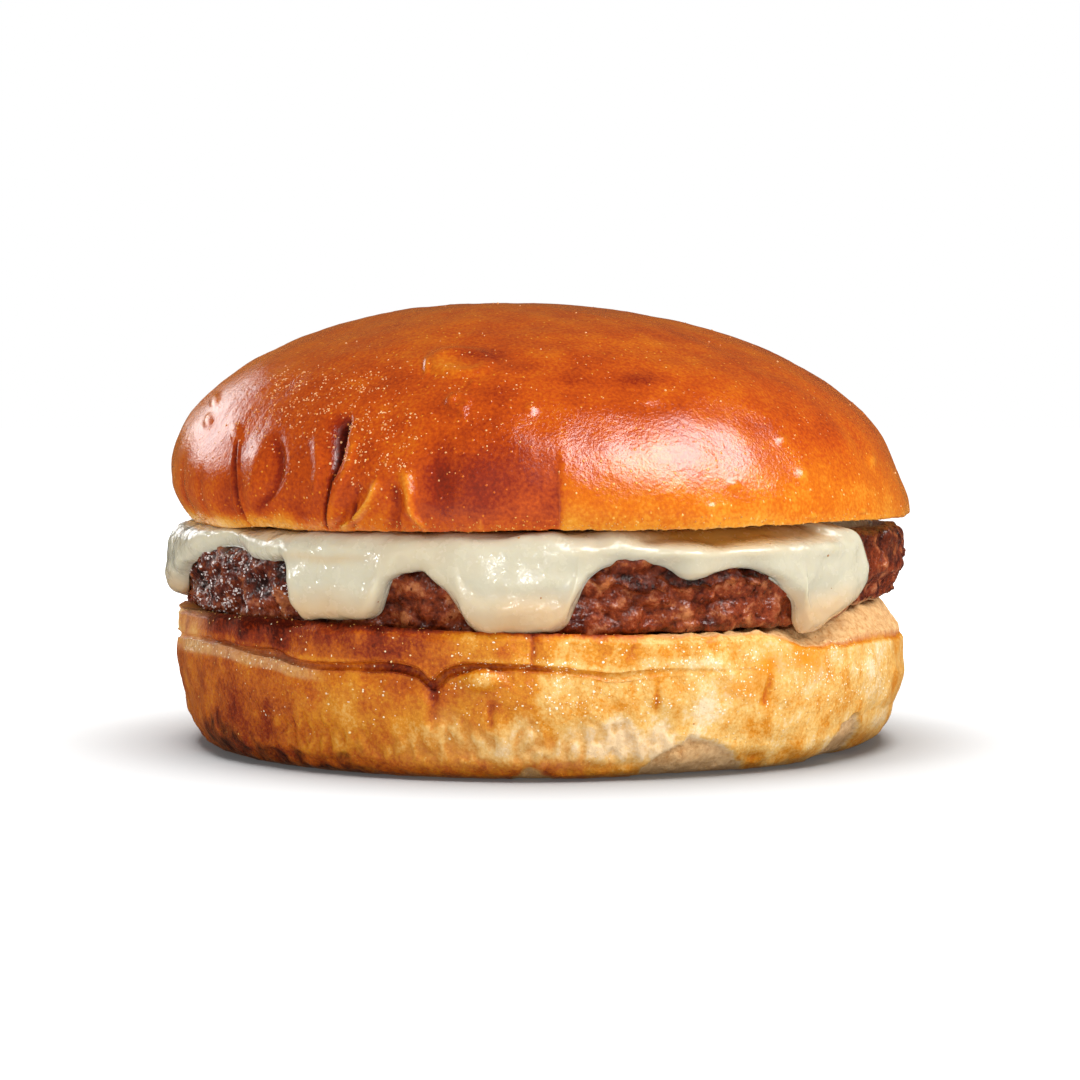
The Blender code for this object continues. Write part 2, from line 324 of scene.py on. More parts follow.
def end_tree(tree: Tree, made: Socket, material: Material) -> None:
    """Ends a geometry tree: what it made is realized, shaded smooth and given its material.

    Args:
        tree: the tree.
        made: the output that holds what it made.
        material: the material.
    """
    real = add(tree, "GeometryNodeRealizeInstances", {"Geometry": made}).outputs[0]
    smooth = add(tree, "GeometryNodeSetShadeSmooth", {"Geometry": real}).outputs[0]
    dressed = add(tree, "GeometryNodeSetMaterial", {"Geometry": smooth, "Material": material}).outputs[0]
    add(tree, "NodeGroupOutput", {0: dressed})


def grow(piece: Piece, tree: Tree, **inputs: Piece) -> None:
    """Runs a geometry tree on a piece and keeps what it makes as the piece's plain mesh.

    Args:
        piece: the piece.
        tree: the geometry tree.
        inputs: the objects that the tree reads, by the name of its input.
    """
    modifier = piece.modifiers.new(tree.name, "NODES")
    modifier.node_group = tree
    for socket in tree.interface.items_tree:
        if socket.name in inputs:
            modifier[socket.identifier] = inputs[socket.name]
    depsgraph = bpy.context.evaluated_depsgraph_get()
    made = piece.evaluated_get(depsgraph)
    mesh = bpy.data.meshes.new_from_object(made, preserve_all_data_layers=True, depsgraph=depsgraph)
    material = next(slot for slot in mesh.materials if slot)
    mesh.materials.clear()
    mesh.materials.append(material)
    mesh.polygons.foreach_set("material_index", [0] * len(mesh.polygons))
    piece.modifiers.clear()
    piece.data = mesh
    mesh.name = piece.name


@dataclass(frozen=True)
class Grain:
    """A noise pattern by its real size.

    Attributes:
        size: how far it is from one rise to the next, in millimetres.
        detail: how many finer patterns lie on top.
        roughness: how strong the finer ones are.
        stretch: how many times as tall as wide the pattern is.
    """

    size: float
    detail: float = 2.0
    roughness: float = 0.5
    stretch: float = 1.0

    def lay(self, tree: Tree) -> Socket:
        """The pattern's value, from 0 to 1, on the object's own coordinates.

        Args:
            tree: the shader tree.

        Returns:
            The output that holds the value.
        """
        place = add(tree, "ShaderNodeTexCoord").outputs["Object"]
        if self.stretch != 1.0:
            inputs = {"Vector": place, "Scale": (1.0, 1.0, 1.0 / self.stretch)}
            place = add(tree, "ShaderNodeMapping", inputs).outputs[0]
        inputs = {"Vector": place, "Scale": 1.0 / (self.size * MM)}
        inputs |= {"Detail": self.detail, "Roughness": self.roughness}
        return add(tree, "ShaderNodeTexNoise", inputs).outputs[0]


def started(name: str) -> tuple[Material, Tree, Node]:
    """A new material with its tree and its Principled BSDF.

    Args:
        name: the material's name.

    Returns:
        The material, its tree and that node.
    """
    material = bpy.data.materials.new(name)
    material.use_nodes = True
    return material, material.node_tree, material.node_tree.nodes["Principled BSDF"]


def bumped(tree: Tree, height: Socket, depth: float, below: Socket | None = None) -> Socket:
    """A normal that a height from 0 to 1 raises by a depth in millimetres, on top of another bump.

    Args:
        tree: the shader tree.
        height: the output that holds the height.
        depth: how far it raises the surface.
        below: the normal of the other bump, if there is one.

    Returns:
        The output that holds the normal.
    """
    inputs = {"Height": height, "Distance": depth * MM, "Strength": 1.0}
    if below is not None:
        inputs["Normal"] = below
    return add(tree, "ShaderNodeBump", inputs).outputs[0]


def dotted(tree: Tree, apart: float) -> Socket:
    """1 in small round dots, about so many millimetres apart, and 0 between them.

    Args:
        tree: the shader tree.
        apart: how far apart they are.

    Returns:
        The output that holds the value.
    """
    place = add(tree, "ShaderNodeTexCoord").outputs["Object"]
    cells = add(tree, "ShaderNodeTexVoronoi", {"Vector": place, "Scale": 1.0 / (apart * MM)})
    dots = fitted(tree, cells.outputs["Distance"], 0.2, 0.1)
    return reckon(tree, "MULTIPLY", dots, reckon(tree, "GREATER_THAN", cells.outputs["Color"], 0.5))


# ---------------------------------------------------------------------------------------------
# Finishes


@dataclass(frozen=True)
class BreadFinish:
    """Baked wheat bread: egg-washed or plain crust, which turns to open crumb where it is cut.

    The wash dries to a thin film, so the crust shines in broad, slightly broken highlights. Sugar
    in the dough browns, which gives each patch its own tone from straw to dark mahogany.
    """

    name: str
    tones: Stops
    crumb: tuple[str, str] = ("#e6b980", "#c2874a")
    burnt: str = "#340d05"
    stain: str = "#e18a08"
    gloss: float = 0.3
    dullness: float = 0.85
    specular: float = 0.5
    peel: Grain = Grain(0.55, 2.0, 0.55)
    peel_depth: float = 0.05
    bloom: float = 0.15
    bloom_roughness: float = 0.35
    bloom_tint: str = "#ff9c3c"
    dots: float = 0.8
    dot_share: float = 0.14
    dot_depth: float = 0.05
    mottle: Grain = Grain(3.2, 3.0, 0.55)
    mottle_share: float = 0.16
    speckle: Grain = Grain(0.45, 1.0)
    speckle_share: float = 0.1
    crumb_grain: Grain = Grain(0.8, 4.0, 0.65)
    crumb_depth: float = 0.3
    deep_brown: tuple[float, float] = (0.8, 0.98)
    deep_dullness: float = 0.5
    matt_dullness: float = 0.3
    lowest_specular: float = 0.05
    wet: Grain = Grain(0.8, 2.0)
    wet_depth: float = 0.5
    wet_roughness: float = 0.12

    def material(self) -> Material:
        """The material, which reads how brown, cut, burnt, stained, matt and wet each place is.

        Returns:
            The material. The skin's numbers that it reads are browning, crumb, burn, stain, matt
            and glaze.
        """
        material, tree, surface = started(self.name)
        mottle, speckle = self.mottle.lay(tree), self.speckle.lay(tree)
        crumb_grain, peel = self.crumb_grain.lay(tree), self.peel.lay(tree)
        crumb, burn, stain = read(tree, "crumb"), read(tree, "burn"), read(tree, "stain")
        browning, matt, dots = read(tree, "browning"), read(tree, "matt"), dotted(tree, self.dots)
        tone = sums(
            tree,
            (browning, 0.0, 1.0),
            (mottle, 0.5, self.mottle_share),
            (speckle, 0.5, self.speckle_share),
            (dots, 0.0, -self.dot_share),
        )
        colour = ramp(tree, tone, self.tones)
        inside = ramp(tree, crumb_grain, ((0.3, self.crumb[1]), (0.6, self.crumb[0])))
        colour = mixed(tree, crumb, colour, inside)
        colour = mixed(tree, stain, colour, linear(self.stain))
        charred = fitted(tree, reckon(tree, "MULTIPLY", burn, sums(tree, (mottle, 0.2, 2.2))))
        colour = mixed(tree, charred, colour, linear(self.burnt))
        tree.links.new(colour, surface.inputs["Base Color"])
        deep = fitted(tree, browning, *self.deep_brown)
        rough = sums(
            tree,
            (crumb, 0.0, self.dullness - self.gloss),
            (deep, 0.0, self.deep_dullness),
            (matt, 0.0, self.matt_dullness),
            (speckle, 0.5, 0.12),
            (mottle, 0.5, 0.1),
        )
        tree.links.new(reckon(tree, "ADD", rough, self.gloss), surface.inputs["Roughness"])
        wet = bumped(tree, self.wet.lay(tree), self.wet_depth)
        tree.links.new(wet, surface.inputs["Coat Normal"])
        tree.links.new(read(tree, "glaze"), surface.inputs["Coat Weight"])
        surface.inputs["Coat Roughness"].default_value = self.wet_roughness
        surface.inputs["Sheen Weight"].default_value = self.bloom
        surface.inputs["Sheen Roughness"].default_value = self.bloom_roughness
        surface.inputs["Sheen Tint"].default_value = linear(self.bloom_tint)
        below = bumped(tree, peel, self.peel_depth, bumped(tree, dots, self.dot_depth))
        relief = bumped(tree, reckon(tree, "MULTIPLY", crumb, crumb_grain), self.crumb_depth, below)
        tree.links.new(relief, surface.inputs["Normal"])
        dull = sums(tree, (deep, 0.0, 1.0), (matt, 0.0, 0.8))
        specular = fitted(tree, dull, at_low=self.specular, at_high=self.lowest_specular)
        tree.links.new(specular, surface.inputs["Specular IOR Level"])
        return material


@dataclass(frozen=True)
class CheeseFinish:
    """Processed white cheese, melted: light sinks in and spreads, and its fat keeps it glossy."""

    name: str = "melted_white_cheese"
    cream: str = "#c2bba4"
    # the colour of painted shade where the slice bends, in recesses and under the crown's rim, and of one
    # yellower patch
    shade_in_folds: str = "#c09040"
    warm: str = "#c9a272"
    grain: Grain = Grain(7.0, 2.0)
    dimples: Grain = Grain(1.7, 3.0, 0.55)
    dimple_depth: float = 0.1
    wet: Grain = Grain(1.6, 2.0, 0.5)
    wet_depth: float = 0.42
    wet_weight: float = 0.8
    wet_roughness: float = 0.08
    milkiness: float = 0.45
    milk_depth: float = 2.2
    milk_spread: tuple[float, float, float] = (1.0, 0.8, 0.45)
    fat_ior: float = 1.46

    def material(self) -> Material:
        """The material, which reads from the skin where painted shade and yellowing go and where its edge
        is.

        Returns:
            The material. The skin's numbers that it reads are fold and edge.
        """
        material, tree, surface = started(self.name)
        grain, dimples = self.grain.lay(tree), self.dimples.lay(tree)
        colour = mixed(tree, read(tree, "fold"), linear(self.cream), linear(self.shade_in_folds))
        warmth = sums(tree, (read(tree, "edge"), 0.0, 0.85), (grain, 0.5, 0.7))
        colour = mixed(tree, warmth, colour, linear(self.warm))
        tree.links.new(colour, surface.inputs["Base Color"])
        rough = reckon(tree, "MULTIPLY_ADD", dimples, 0.3, 0.1)
        tree.links.new(rough, surface.inputs["Roughness"])
        tree.links.new(bumped(tree, dimples, self.dimple_depth), surface.inputs["Normal"])
        tree.links.new(bumped(tree, self.wet.lay(tree), self.wet_depth), surface.inputs["Coat Normal"])
        surface.inputs["Coat Weight"].default_value = self.wet_weight
        surface.inputs["Coat Roughness"].default_value = self.wet_roughness
        surface.inputs["Subsurface Weight"].default_value = self.milkiness
        surface.inputs["Subsurface Radius"].default_value = self.milk_spread
        surface.inputs["Subsurface Scale"].default_value = self.milk_depth * MM
        surface.inputs["IOR"].default_value = self.fat_ior
        return material


@dataclass(frozen=True)
class BeefFinish:
    """Ground beef, seared: a brown crust charred at its edge, pinker below, wet with fat."""

    name: str = "seared_ground_beef"
    meat: Stops = ((0.2, "#441204"), (0.5, "#843513"), (0.8, "#b87040"))
    pink: Stops = ((0.2, "#4c1304"), (0.5, "#8a3614"), (0.8, "#c4784e"))
    char: Stops = ((0.25, "#200702"), (0.55, "#5e1e06"), (0.85, "#a5551f"))
    mince: Grain = Grain(2.0, 4.0, 0.6)
    fibre: Grain = Grain(0.7, 4.0, 0.65)
    fibre_depth: float = 0.34
    specular: float = 0.2
    wet: Grain = Grain(0.9, 2.0)
    wet_depth: float = 0.55
    wet_roughness: float = 0.1
    wet_weight: float = 0.9
    gritty_wet_weight: float = 0.3

    def material(self) -> Material:
        """The material, which reads from the skin where the meat is charred, pink, sunk or gritty; the sunk
        pits get painted shade.

        Returns:
            The material. The skin's numbers that it reads are char, blush, pit and gritty.
        """
        material, tree, surface = started(self.name)
        mince, fibre = self.mince.lay(tree), self.fibre.lay(tree)
        # painted shade: darker in the pits between the mince's cells
        tone = sums(tree, (mince, 0.2, 1.2), (fibre, 0.5, 0.9), (read(tree, "pit"), 0.4, -0.4))
        tone = reckon(tree, "ADD", tone, 0.15)
        colour = mixed(tree, read(tree, "blush"), ramp(tree, tone, self.meat), ramp(tree, tone, self.pink))
        colour = mixed(tree, read(tree, "char"), colour, ramp(tree, tone, self.char))
        tree.links.new(colour, surface.inputs["Base Color"])
        rough = reckon(tree, "MULTIPLY_ADD", mince, 0.5, 0.1)
        tree.links.new(rough, surface.inputs["Roughness"])
        tree.links.new(bumped(tree, fibre, self.fibre_depth), surface.inputs["Normal"])
        tree.links.new(bumped(tree, self.wet.lay(tree), self.wet_depth), surface.inputs["Coat Normal"])
        surface.inputs["Specular IOR Level"].default_value = self.specular
        coat = fitted(tree, read(tree, "gritty"), at_low=self.wet_weight, at_high=self.gritty_wet_weight)
        tree.links.new(coat, surface.inputs["Coat Weight"])
        surface.inputs["Coat Roughness"].default_value = self.wet_roughness
        return material


@dataclass(frozen=True)
class GrainFinish:
    """A small thing strewn on a food: one colour that wanders between two tones."""

    name: str
    tones: tuple[str, str]
    roughness: float
    wander: Grain = Grain(0.7, 1.0)

    def material(self) -> Material:
        """The material.

        Returns:
            A material that needs no number from the skin.
        """
        material, tree, surface = started(self.name)
        colour = ramp(tree, self.wander.lay(tree), ((0.35, self.tones[0]), (0.65, self.tones[1])))
        tree.links.new(colour, surface.inputs["Base Color"])
        surface.inputs["Roughness"].default_value = self.roughness
        return material


# ---------------------------------------------------------------------------------------------
# Skins


@dataclass
class Form:
    """A food's skin while it is shaped.

    Attributes:
        points: where its vertices are, in millimetres.
        degrees: the angle of each vertex's meridian.
        stretch: the name of the section's stretch that each vertex lies in.
        normals: the way that each vertex faces, before the fine forms.
        marks: the numbers that the skin carries for its material.
    """

    points: Array
    degrees: Array
    stretch: Array
    normals: Array
    marks: dict[str, Array] = field(default_factory=dict)

    @property
    def reach(self) -> Array:
        """How far each vertex is from the axis."""
        return np.hypot(self.points[:, 0], self.points[:, 1])

    def on(self, *names: str) -> Array:
        """1 on the named stretches and 0 elsewhere."""
        return np.isin(self.stretch, names).astype(float)

    def push_out(self, amount: Array) -> None:
        """Moves each vertex straight away from the axis.

        Args:
            amount: how far, in millimetres.
        """
        x, y = on_ray(amount, self.degrees)
        self.points[:, 0] += x
        self.points[:, 1] += y

    def raise_by(self, amount: Array) -> None:
        """Moves each vertex along its normal."""
        self.points += self.normals * amount[:, None]


@dataclass(frozen=True)
class Stack:
    """The heights of the burger's layers, as in its solids.

    Attributes:
        heel: the heel's cut face, on the axis.
        patty: how thick the patty is.
        cheese: how thick the slice is.
        gap: what two layers' solids keep between them.
        slope: how the fillings rise to the right.
        pitch: how the heel's cut face sinks to the front.
        cup: how much higher the heel's cut face is at its left and right.
        radius: the bun's.
    """

    heel: float = 18.9
    patty: float = 10.2
    cheese: float = 1.75
    gap: float = 0.3
    slope: float = 0.0105
    pitch: float = 0.018
    cup: float = 0.7
    radius: float = 52.4

    @property
    def patty_top(self) -> float:
        """The patty's top face, on the axis."""
        return self.heel + self.gap + self.patty

    @property
    def crown_base(self) -> float:
        """The crown's cut face, on the axis."""
        return self.patty_top + self.cheese + 2.0 * self.gap

    def face(self, x: Array, y: Array) -> Array:
        """The height of the heel's cut face."""
        return self.heel + self.pitch * y + self.cup * (x / self.radius) ** 2

    def tilted(self, height: float, x: Array) -> Array:
        """A level of the fillings, which rises to the right."""
        return height + self.slope * x


@dataclass(frozen=True)
class Crease:
    """A furrow, or a ridge where its depth is below 0, that runs up a crust's side.

    Attributes:
        path: (height, degrees) along it, from its lower end up.
        width: half its width at the lower and at the upper end.
        depth: how deep it is at the lower and at the upper end.
        lip: how far its edges stand out.
        fade: over what height its ends run out.
        walls: 2 for a round valley, more for steep walls.
        tone: how much darker the crust is in it: painted shade in a furrow, and a painted highlight, below
            0, on a ridge.
        skew: how much wider it is on its left than on its right.
    """

    path: Knots
    width: tuple[float, float]
    depth: tuple[float, float]
    lip: float = 0.0
    fade: float = 0.7
    walls: float = 2.0
    tone: float = 0.3
    skew: float = 0.0

    def press(self, form: Form) -> tuple[Array, Array]:
        """Lays the crease on a skin.

        Args:
            form: the skin.

        Returns:
            How far it presses each vertex in, and how much darker it makes the crust there, which is
            painted shade in a furrow and a painted highlight, below 0, on a ridge.
        """
        low, high = self.path[0][0], self.path[-1][0]
        z = form.points[:, 2]
        across = np.radians(away(form.degrees, bent(z, self.path))) * form.reach
        share = np.clip((z - low) / (high - low), 0.0, 1.0)
        width = self.width[0] + (self.width[1] - self.width[0]) * share
        depth = self.depth[0] + (self.depth[1] - self.depth[0]) * share
        inside = window(z, low, high, self.fade)
        valley = hump(across, width * np.where(across < 0.0, 1.0 + self.skew, 1.0 - self.skew), self.walls)
        lips = self.lip * hump(np.abs(across) - 1.9 * width, 0.8 * width)
        return inside * (depth * valley - lips), inside * valley * self.tone


@dataclass(frozen=True)
class Spot:
    """An oval on a side that faces the viewer, seen straight on.

    Attributes:
        x, z: its middle.
        wide, tall: half its width and height.
        rise: how far it stands out.
        tone: how much darker it is: painted shade in dents and beside a blister, a painted highlight, below
            0, on small bumps, and darker crust in a few patches.
        edge: how steep its edge is, from 1, soft, to 8, a step.
    """

    x: float
    z: float
    wide: float
    tall: float
    rise: float = 0.0
    tone: float = 0.0
    edge: float = 2.0

    def lay(self, form: Form) -> Array:
        """1 inside the oval and 0 outside it and on the back.

        Args:
            form: the skin it lies on.

        Returns:
            The value at each vertex.
        """
        x, y, z = form.points.T
        out = np.hypot((x - self.x) / self.wide, (z - self.z) / self.tall)
        return np.where(y < 0.0, np.exp(-(out ** self.edge)), 0.0)


@dataclass(frozen=True)
class Patch:
    """A stretch of angles on a food, and of heights where it ends there too.

    Attributes:
        centre: the angle that the next two are counted from.
        left, right: its ends, in degrees.
        fade: over how many degrees it fades at each end.
        heights: its lower and upper end and over what height it fades there.
    """

    centre: float
    left: float
    right: float
    fade: float
    heights: tuple[float, float, float] | None = None

    def on(self, degrees: Array, z: Array | None = None) -> Array:
        """1 inside the patch and 0 outside it.

        Args:
            degrees: the angle of each place.
            z: the height of each place, where the patch ends in height.

        Returns:
            The value at each place.
        """
        inside = window(away(degrees, self.centre), self.left, self.right, self.fade)
        return inside if z is None else inside * window(z, *self.heights)


class Food:
    """A food of the burger: a closed skin of rings and meridians, shaped and dressed."""

    name: str
    node: str
    slot: str
    rings: dict[str, int]
    meridians: int
    creases: tuple[Crease, ...] = ()
    spots: tuple[Spot, ...] = ()
    finish: BreadFinish | CheeseFinish | BeefFinish

    def density(self, degrees: Array) -> Array:
        """How densely meridians stand: most at the front left, where the folds are finest."""
        return 1.0 + 0.45 * np.cos(np.radians(degrees + 112.0))

    def place(self, stretch: str, along: Array, degrees: Array) -> tuple[Array, Array, Array]:
        """Places of the plain form.

        Args:
            stretch: the name of a stretch of its section.
            along: shares of the way along the stretch.
            degrees: the angle of the meridian that each share is on.

        Returns:
            X, Y and Z of each place.
        """
        raise NotImplementedError

    def sculpt(self, form: Form) -> None:
        """Presses the fine forms into the skin and marks it for its material.

        Args:
            form: the plain form, which is changed.
        """
        raise NotImplementedError

    def press_creases(self, form: Form) -> tuple[Array, Array]:
        """Lays all creases on a skin.

        Args:
            form: the skin.

        Returns:
            How far they press each vertex in, and how much darker they make it, painted shade and highlight
            included.
        """
        pressed, painted_shade_and_tone = np.zeros(len(form.points)), np.zeros(len(form.points))
        for crease in self.creases:
            depth, tone = crease.press(form)
            pressed += depth
            painted_shade_and_tone += tone
        return pressed, painted_shade_and_tone

    def lay_spots(self, form: Form, raised: Array, painted_shade_and_tone: Array) -> None:
        """Lays all spots on a skin.

        Args:
            form: the skin.
            raised: how far each vertex stands out, which the spots are added to.
            painted_shade_and_tone: how much darker each vertex is, painted shade and highlight included,
                which they are added to as well.
        """
        for spot in self.spots:
            laid = spot.lay(form)
            raised += spot.rise * laid
            painted_shade_and_tone += spot.tone * laid

    def meridian_angles(self) -> Array:
        """The meridians' angles, so that as much density lies between each and the next.

        Returns:
            The angles, in rising order.
        """
        steps = np.linspace(0.0, 360.0, 3601)
        sums_so_far = np.concatenate(([0.0], np.cumsum(self.density(steps[:-1]))))
        wanted = np.arange(self.meridians) / self.meridians * sums_so_far[-1]
        return np.interp(wanted, sums_so_far, steps)

    def sphere_tree(self, material: Material) -> Tree:
        """A geometry tree that makes the sphere of the food's rings and meridians.

        Args:
            material: the food's material.

        Returns:
            The tree.
        """
        tree, _ = geometry_tree(self.name + "_sphere", {})
        inputs = {"Segments": self.meridians, "Rings": sum(self.rings.values()), "Radius": 1.0}
        end_tree(tree, add(tree, "GeometryNodeMeshUVSphere", inputs).outputs["Mesh"], material)
        return tree

    def plain_form(self, mesh: Mesh) -> Form:
        """Turns a UV sphere's mesh into the food's plain form.

        Args:
            mesh: the sphere, of the food's rings and meridians.

        Returns:
            The form, whose normals are those of the plain form.
        """
        sphere = np.empty(len(mesh.vertices) * 3)
        mesh.vertices.foreach_get("co", sphere)
        x, y, z = sphere.reshape(-1, 3).T
        ring = np.rint(sum(self.rings.values()) * np.arccos(np.clip(z, -1.0, 1.0)) / math.pi)
        meridian = np.rint(self.meridians * np.arctan2(y, x) / (2.0 * math.pi)).astype(int) % self.meridians
        degrees = self.meridian_angles()[meridian]
        points = np.empty((len(ring), 3))
        stretch = np.empty(len(ring), dtype="U12")
        first = 0
        for name, count in self.rings.items():
            here = (ring > first - (first == 0)) & (ring <= first + count)
            points[here] = np.stack(self.place(name, (ring[here] - first) / count, degrees[here]), axis=1)
            stretch[here] = name
            first += count
        form = Form(points, degrees, stretch, np.empty_like(points))
        self.write(mesh, form)
        normals = np.empty(points.size)
        mesh.vertex_normals.foreach_get("vector", normals)
        form.normals = normals.reshape(-1, 3)
        return form

    def write(self, mesh: Mesh, form: Form) -> None:
        """Gives a mesh the form's places and marks.

        Args:
            mesh: the mesh, with as many vertices as the form.
            form: the form.
        """
        mesh.vertices.foreach_set("co", (form.points * MM).ravel())
        for name, values in form.marks.items():
            mark = mesh.attributes.get(name) or mesh.attributes.new(name, "FLOAT", "POINT")
            mark.data.foreach_set("value", np.clip(values, 0.0, 1.0))
        mesh.update()

    def build(self) -> Piece:
        """Builds the food and dresses it.

        Returns:
            The piece, which stands for the food's solid.
        """
        piece = put(self.name, bpy.data.meshes.new(self.name))
        grow(piece, self.sphere_tree(self.finish.material()))
        form = self.plain_form(piece.data)
        self.sculpt(form)
        self.write(piece.data, form)
        return piece

    def declare(self, piece: Piece) -> None:
        """Tells the frame what the piece rides on, and hides the part of the solid that it stands for.

        Args:
            piece: the finished piece.
        """
        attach(piece, "root")
        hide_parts(self.node)
        LOG.info("%s: %d triangles", piece.name, triangles(piece))


# ---------------------------------------------------------------------------------------------
# Crown


@dataclass
class Crown(Food):
    """The bun's top: an egg-washed dome that curls in to its cut edge, creased at its front left."""

    name: str = "crown_crust"
    node: str = "crown"
    slot: str = "glazed_crust"
    rings: dict[str, int] = field(default_factory=lambda: {"dome": 122, "curl": 20, "face": 4})
    meridians: int = 660
    stack: Stack = Stack()
    top: float = 61.6
    apex_x: float = -4.0
    radii: Knots = ((0, 52.3), (90, 51.4), (180, 52.0), (270, 51.6))
    shoulders: Knots = ((0, 1.05), (90, 1.0), (180, 0.96), (270, 1.02))
    curl_heights: Knots = ((0, 1.4), (90, 4.2), (180, 6.2), (225, 4.8), (270, 3.2), (315, 1.8))
    curl_insets: Knots = ((0, 0.1), (90, 1.8), (180, 3.4), (225, 2.2), (270, 1.1), (315, 0.3))
    # creases: a tone above 0 is painted shade in a furrow, below 0 a painted highlight on a ridge
    creases: tuple[Crease, ...] = (
        Crease(((31.6, -140.3), (33.2, -140.0), (38.4, -140.5), (42.4, -142.0)), (0.45, 0.3),
               (0.8, 0.5), 0.25),
        Crease(((34.0, -135.8), (42.5, -135.4)), (2.0, 2.4), (-0.8, -0.8), fade=2.5, tone=-0.06),
        Crease(((33.6, -135.6), (36.1, -131.9), (40.1, -130.9), (42.9, -132.8)), (0.8, 1.2),
               (0.2, 0.85), 0.0, 1.6, tone=0.22),
        Crease(((31.9, -122.8), (35.7, -121.3), (38.6, -120.8)), (0.24, 0.22), (0.7, 1.0), 0.15,
               0.6, 2.4, 0.6),
        Crease(((37.4, -120.8), (39.0, -120.2), (40.8, -119.9), (43.0, -120.2), (45.4, -120.6)),
               (0.15, 1.5), (0.8, 1.7), 0.0, 1.5, 2.2, 0.6, 0.55),
        Crease(((36.5, -123.4), (39.5, -123.2), (43.0, -124.6)), (0.7, 0.8), (-0.5, -0.45),
               fade=1.5, tone=-0.06),
        Crease(((32.4, -121.6), (36.0, -120.0), (40.0, -118.4), (43.0, -118.2)), (0.6, 0.6),
               (-0.3, -0.35), tone=-0.12),
        Crease(((31.9, -118.2), (33.8, -117.3), (35.0, -117.0)), (0.4, 0.3), (0.7, 0.5), 0.15),
        Crease(((31.9, -121.4), (34.2, -118.0), (37.2, -116.2)), (0.6, 0.7), (0.5, 0.4), tone=0.12),
        Crease(((31.8, -119.7), (33.3, -116.8), (35.0, -114.9), (37.8, -113.5)), (0.5, 0.6),
               (-1.3, -0.7), tone=-0.3),
        Crease(((31.9, -112.0), (34.4, -110.4), (37.4, -110.9)), (0.8, 0.9), (0.7, 0.5), tone=0.2),
        Crease(((31.9, -106.6), (34.0, -108.2), (36.5, -108.6), (39.0, -109.2)), (0.42, 0.8),
               (-1.1, -0.5), tone=-0.2),
        Crease(((31.8, -110.6), (33.2, -110.4)), (0.25, 0.2), (0.5, 0.4), tone=0.2),
        Crease(((31.8, -98.5), (33.4, -98.4)), (0.22, 0.22), (-0.4, -0.35), tone=-0.3),
        Crease(((31.8, -127.5), (35.5, -127.0)), (2.2, 2.2), (0.35, 0.2), fade=1.5, tone=0.08),
        Crease(((32.5, -150.0), (39.0, -150.5)), (1.2, 1.0), (0.3, 0.2), fade=2.0, tone=0.1),
        Crease(((32.5, -158.5), (39.5, -159.0)), (1.6, 1.4), (0.35, 0.25), fade=2.0, tone=0.12),
    )
    # tones: the dark crescent beside the big blister is painted shadow, the dark dents low at the front
    # painted shade, and the paler small bumps painted highlights
    spots: tuple[Spot, ...] = (
        Spot(-10.3, 52.8, 4.2, 2.0, 0.75, -0.06, 7.0),
        Spot(-9.7, 52.9, 3.3, 1.4, -0.6, 0.0, 4.0),
        Spot(-7.4, 53.7, 3.3, 1.15, 0.0, 0.3),
        Spot(-12.0, 52.0, 2.4, 1.0, 0.0, -0.1),
        Spot(-14.6, 52.2, 0.35, 1.0, 0.35, -0.1, 3.0),
        Spot(-10.3, 47.7, 1.6, 1.1, 0.65, -0.06, 6.0),
        Spot(-10.1, 47.6, 1.1, 0.65, -0.55, 0.0, 3.0),
        Spot(-9.7, 46.2, 0.5, 0.5, 0.3, 0.0, 3.0),
        Spot(-8.5, 50.0, 0.45, 0.4, 0.3, 0.0, 3.0),
        Spot(-1.2, 47.0, 0.75, 0.55, 0.35, -0.05, 3.0),
        Spot(4.2, 50.9, 2.6, 0.9, 0.0, 0.13),
        Spot(12.9, 50.7, 3.0, 0.8, 0.0, 0.14),
        Spot(10.5, 57.1, 4.5, 0.7, 0.0, 0.08),
        Spot(-3.0, 52.1, 2.0, 0.8, 0.0, 0.07),
        Spot(-12.6, 37.8, 2.3, 4.4, -0.8, 0.26),
        Spot(-44.3, 47.9, 0.8, 0.9, 0.4, -0.1, 3.0),
        Spot(-44.6, 45.2, 0.7, 0.9, 0.3, -0.08, 3.0),
        Spot(-40.0, 43.4, 0.8, 1.2, 0.3, -0.05, 3.0),
        Spot(31.3, 42.9, 0.65, 0.6, 0.35, -0.12, 3.0),
        Spot(34.0, 38.5, 0.7, 0.9, 0.28, -0.12, 3.0),
        Spot(24.6, 37.4, 0.6, 0.55, 0.3, -0.1, 3.0),
        Spot(44.4, 39.9, 0.6, 0.8, 0.25, -0.12, 3.0),
        Spot(21.7, 34.6, 0.4, 0.35, 0.25, -0.12, 3.0),
        Spot(35.3, 33.1, 0.4, 0.4, 0.25, -0.12, 3.0),
        Spot(42.6, 33.4, 0.4, 0.4, 0.25, -0.12, 3.0),
        Spot(13.8, 48.2, 1.4, 0.7, 0.15, -0.05, 3.0),
        Spot(-7.0, 38.0, 3.0, 6.0, -0.1, 0.1),
    )
    step_at: float = -87.0
    step_depth: float = 0.3
    hollow_from: float = -106.0
    hollow_fade: tuple[float, float] = (-6.0, 12.0)
    hollow_middle: float = -98.0
    hollow_reach: float = 30.0
    hollow_heights: tuple[float, float, float] = (20.0, 40.0, 5.0)
    flutes_apart: float = 14.4
    flutes: Patch = Patch(-165.0, -25.0, 25.0, 5.0, (20.0, 40.0, 4.0))
    flank_at: float = 38.2
    flank_height: float = 5.2
    flank_width: float = 38.0
    flank_depth: float = 1.5
    shade_in_folds: Patch = Patch(-130.0, -14.0, 12.0, 4.0, (20.0, 43.0, 3.0))
    pale_rim: Patch = Patch(-158.0, -30.0, 34.0, 8.0)
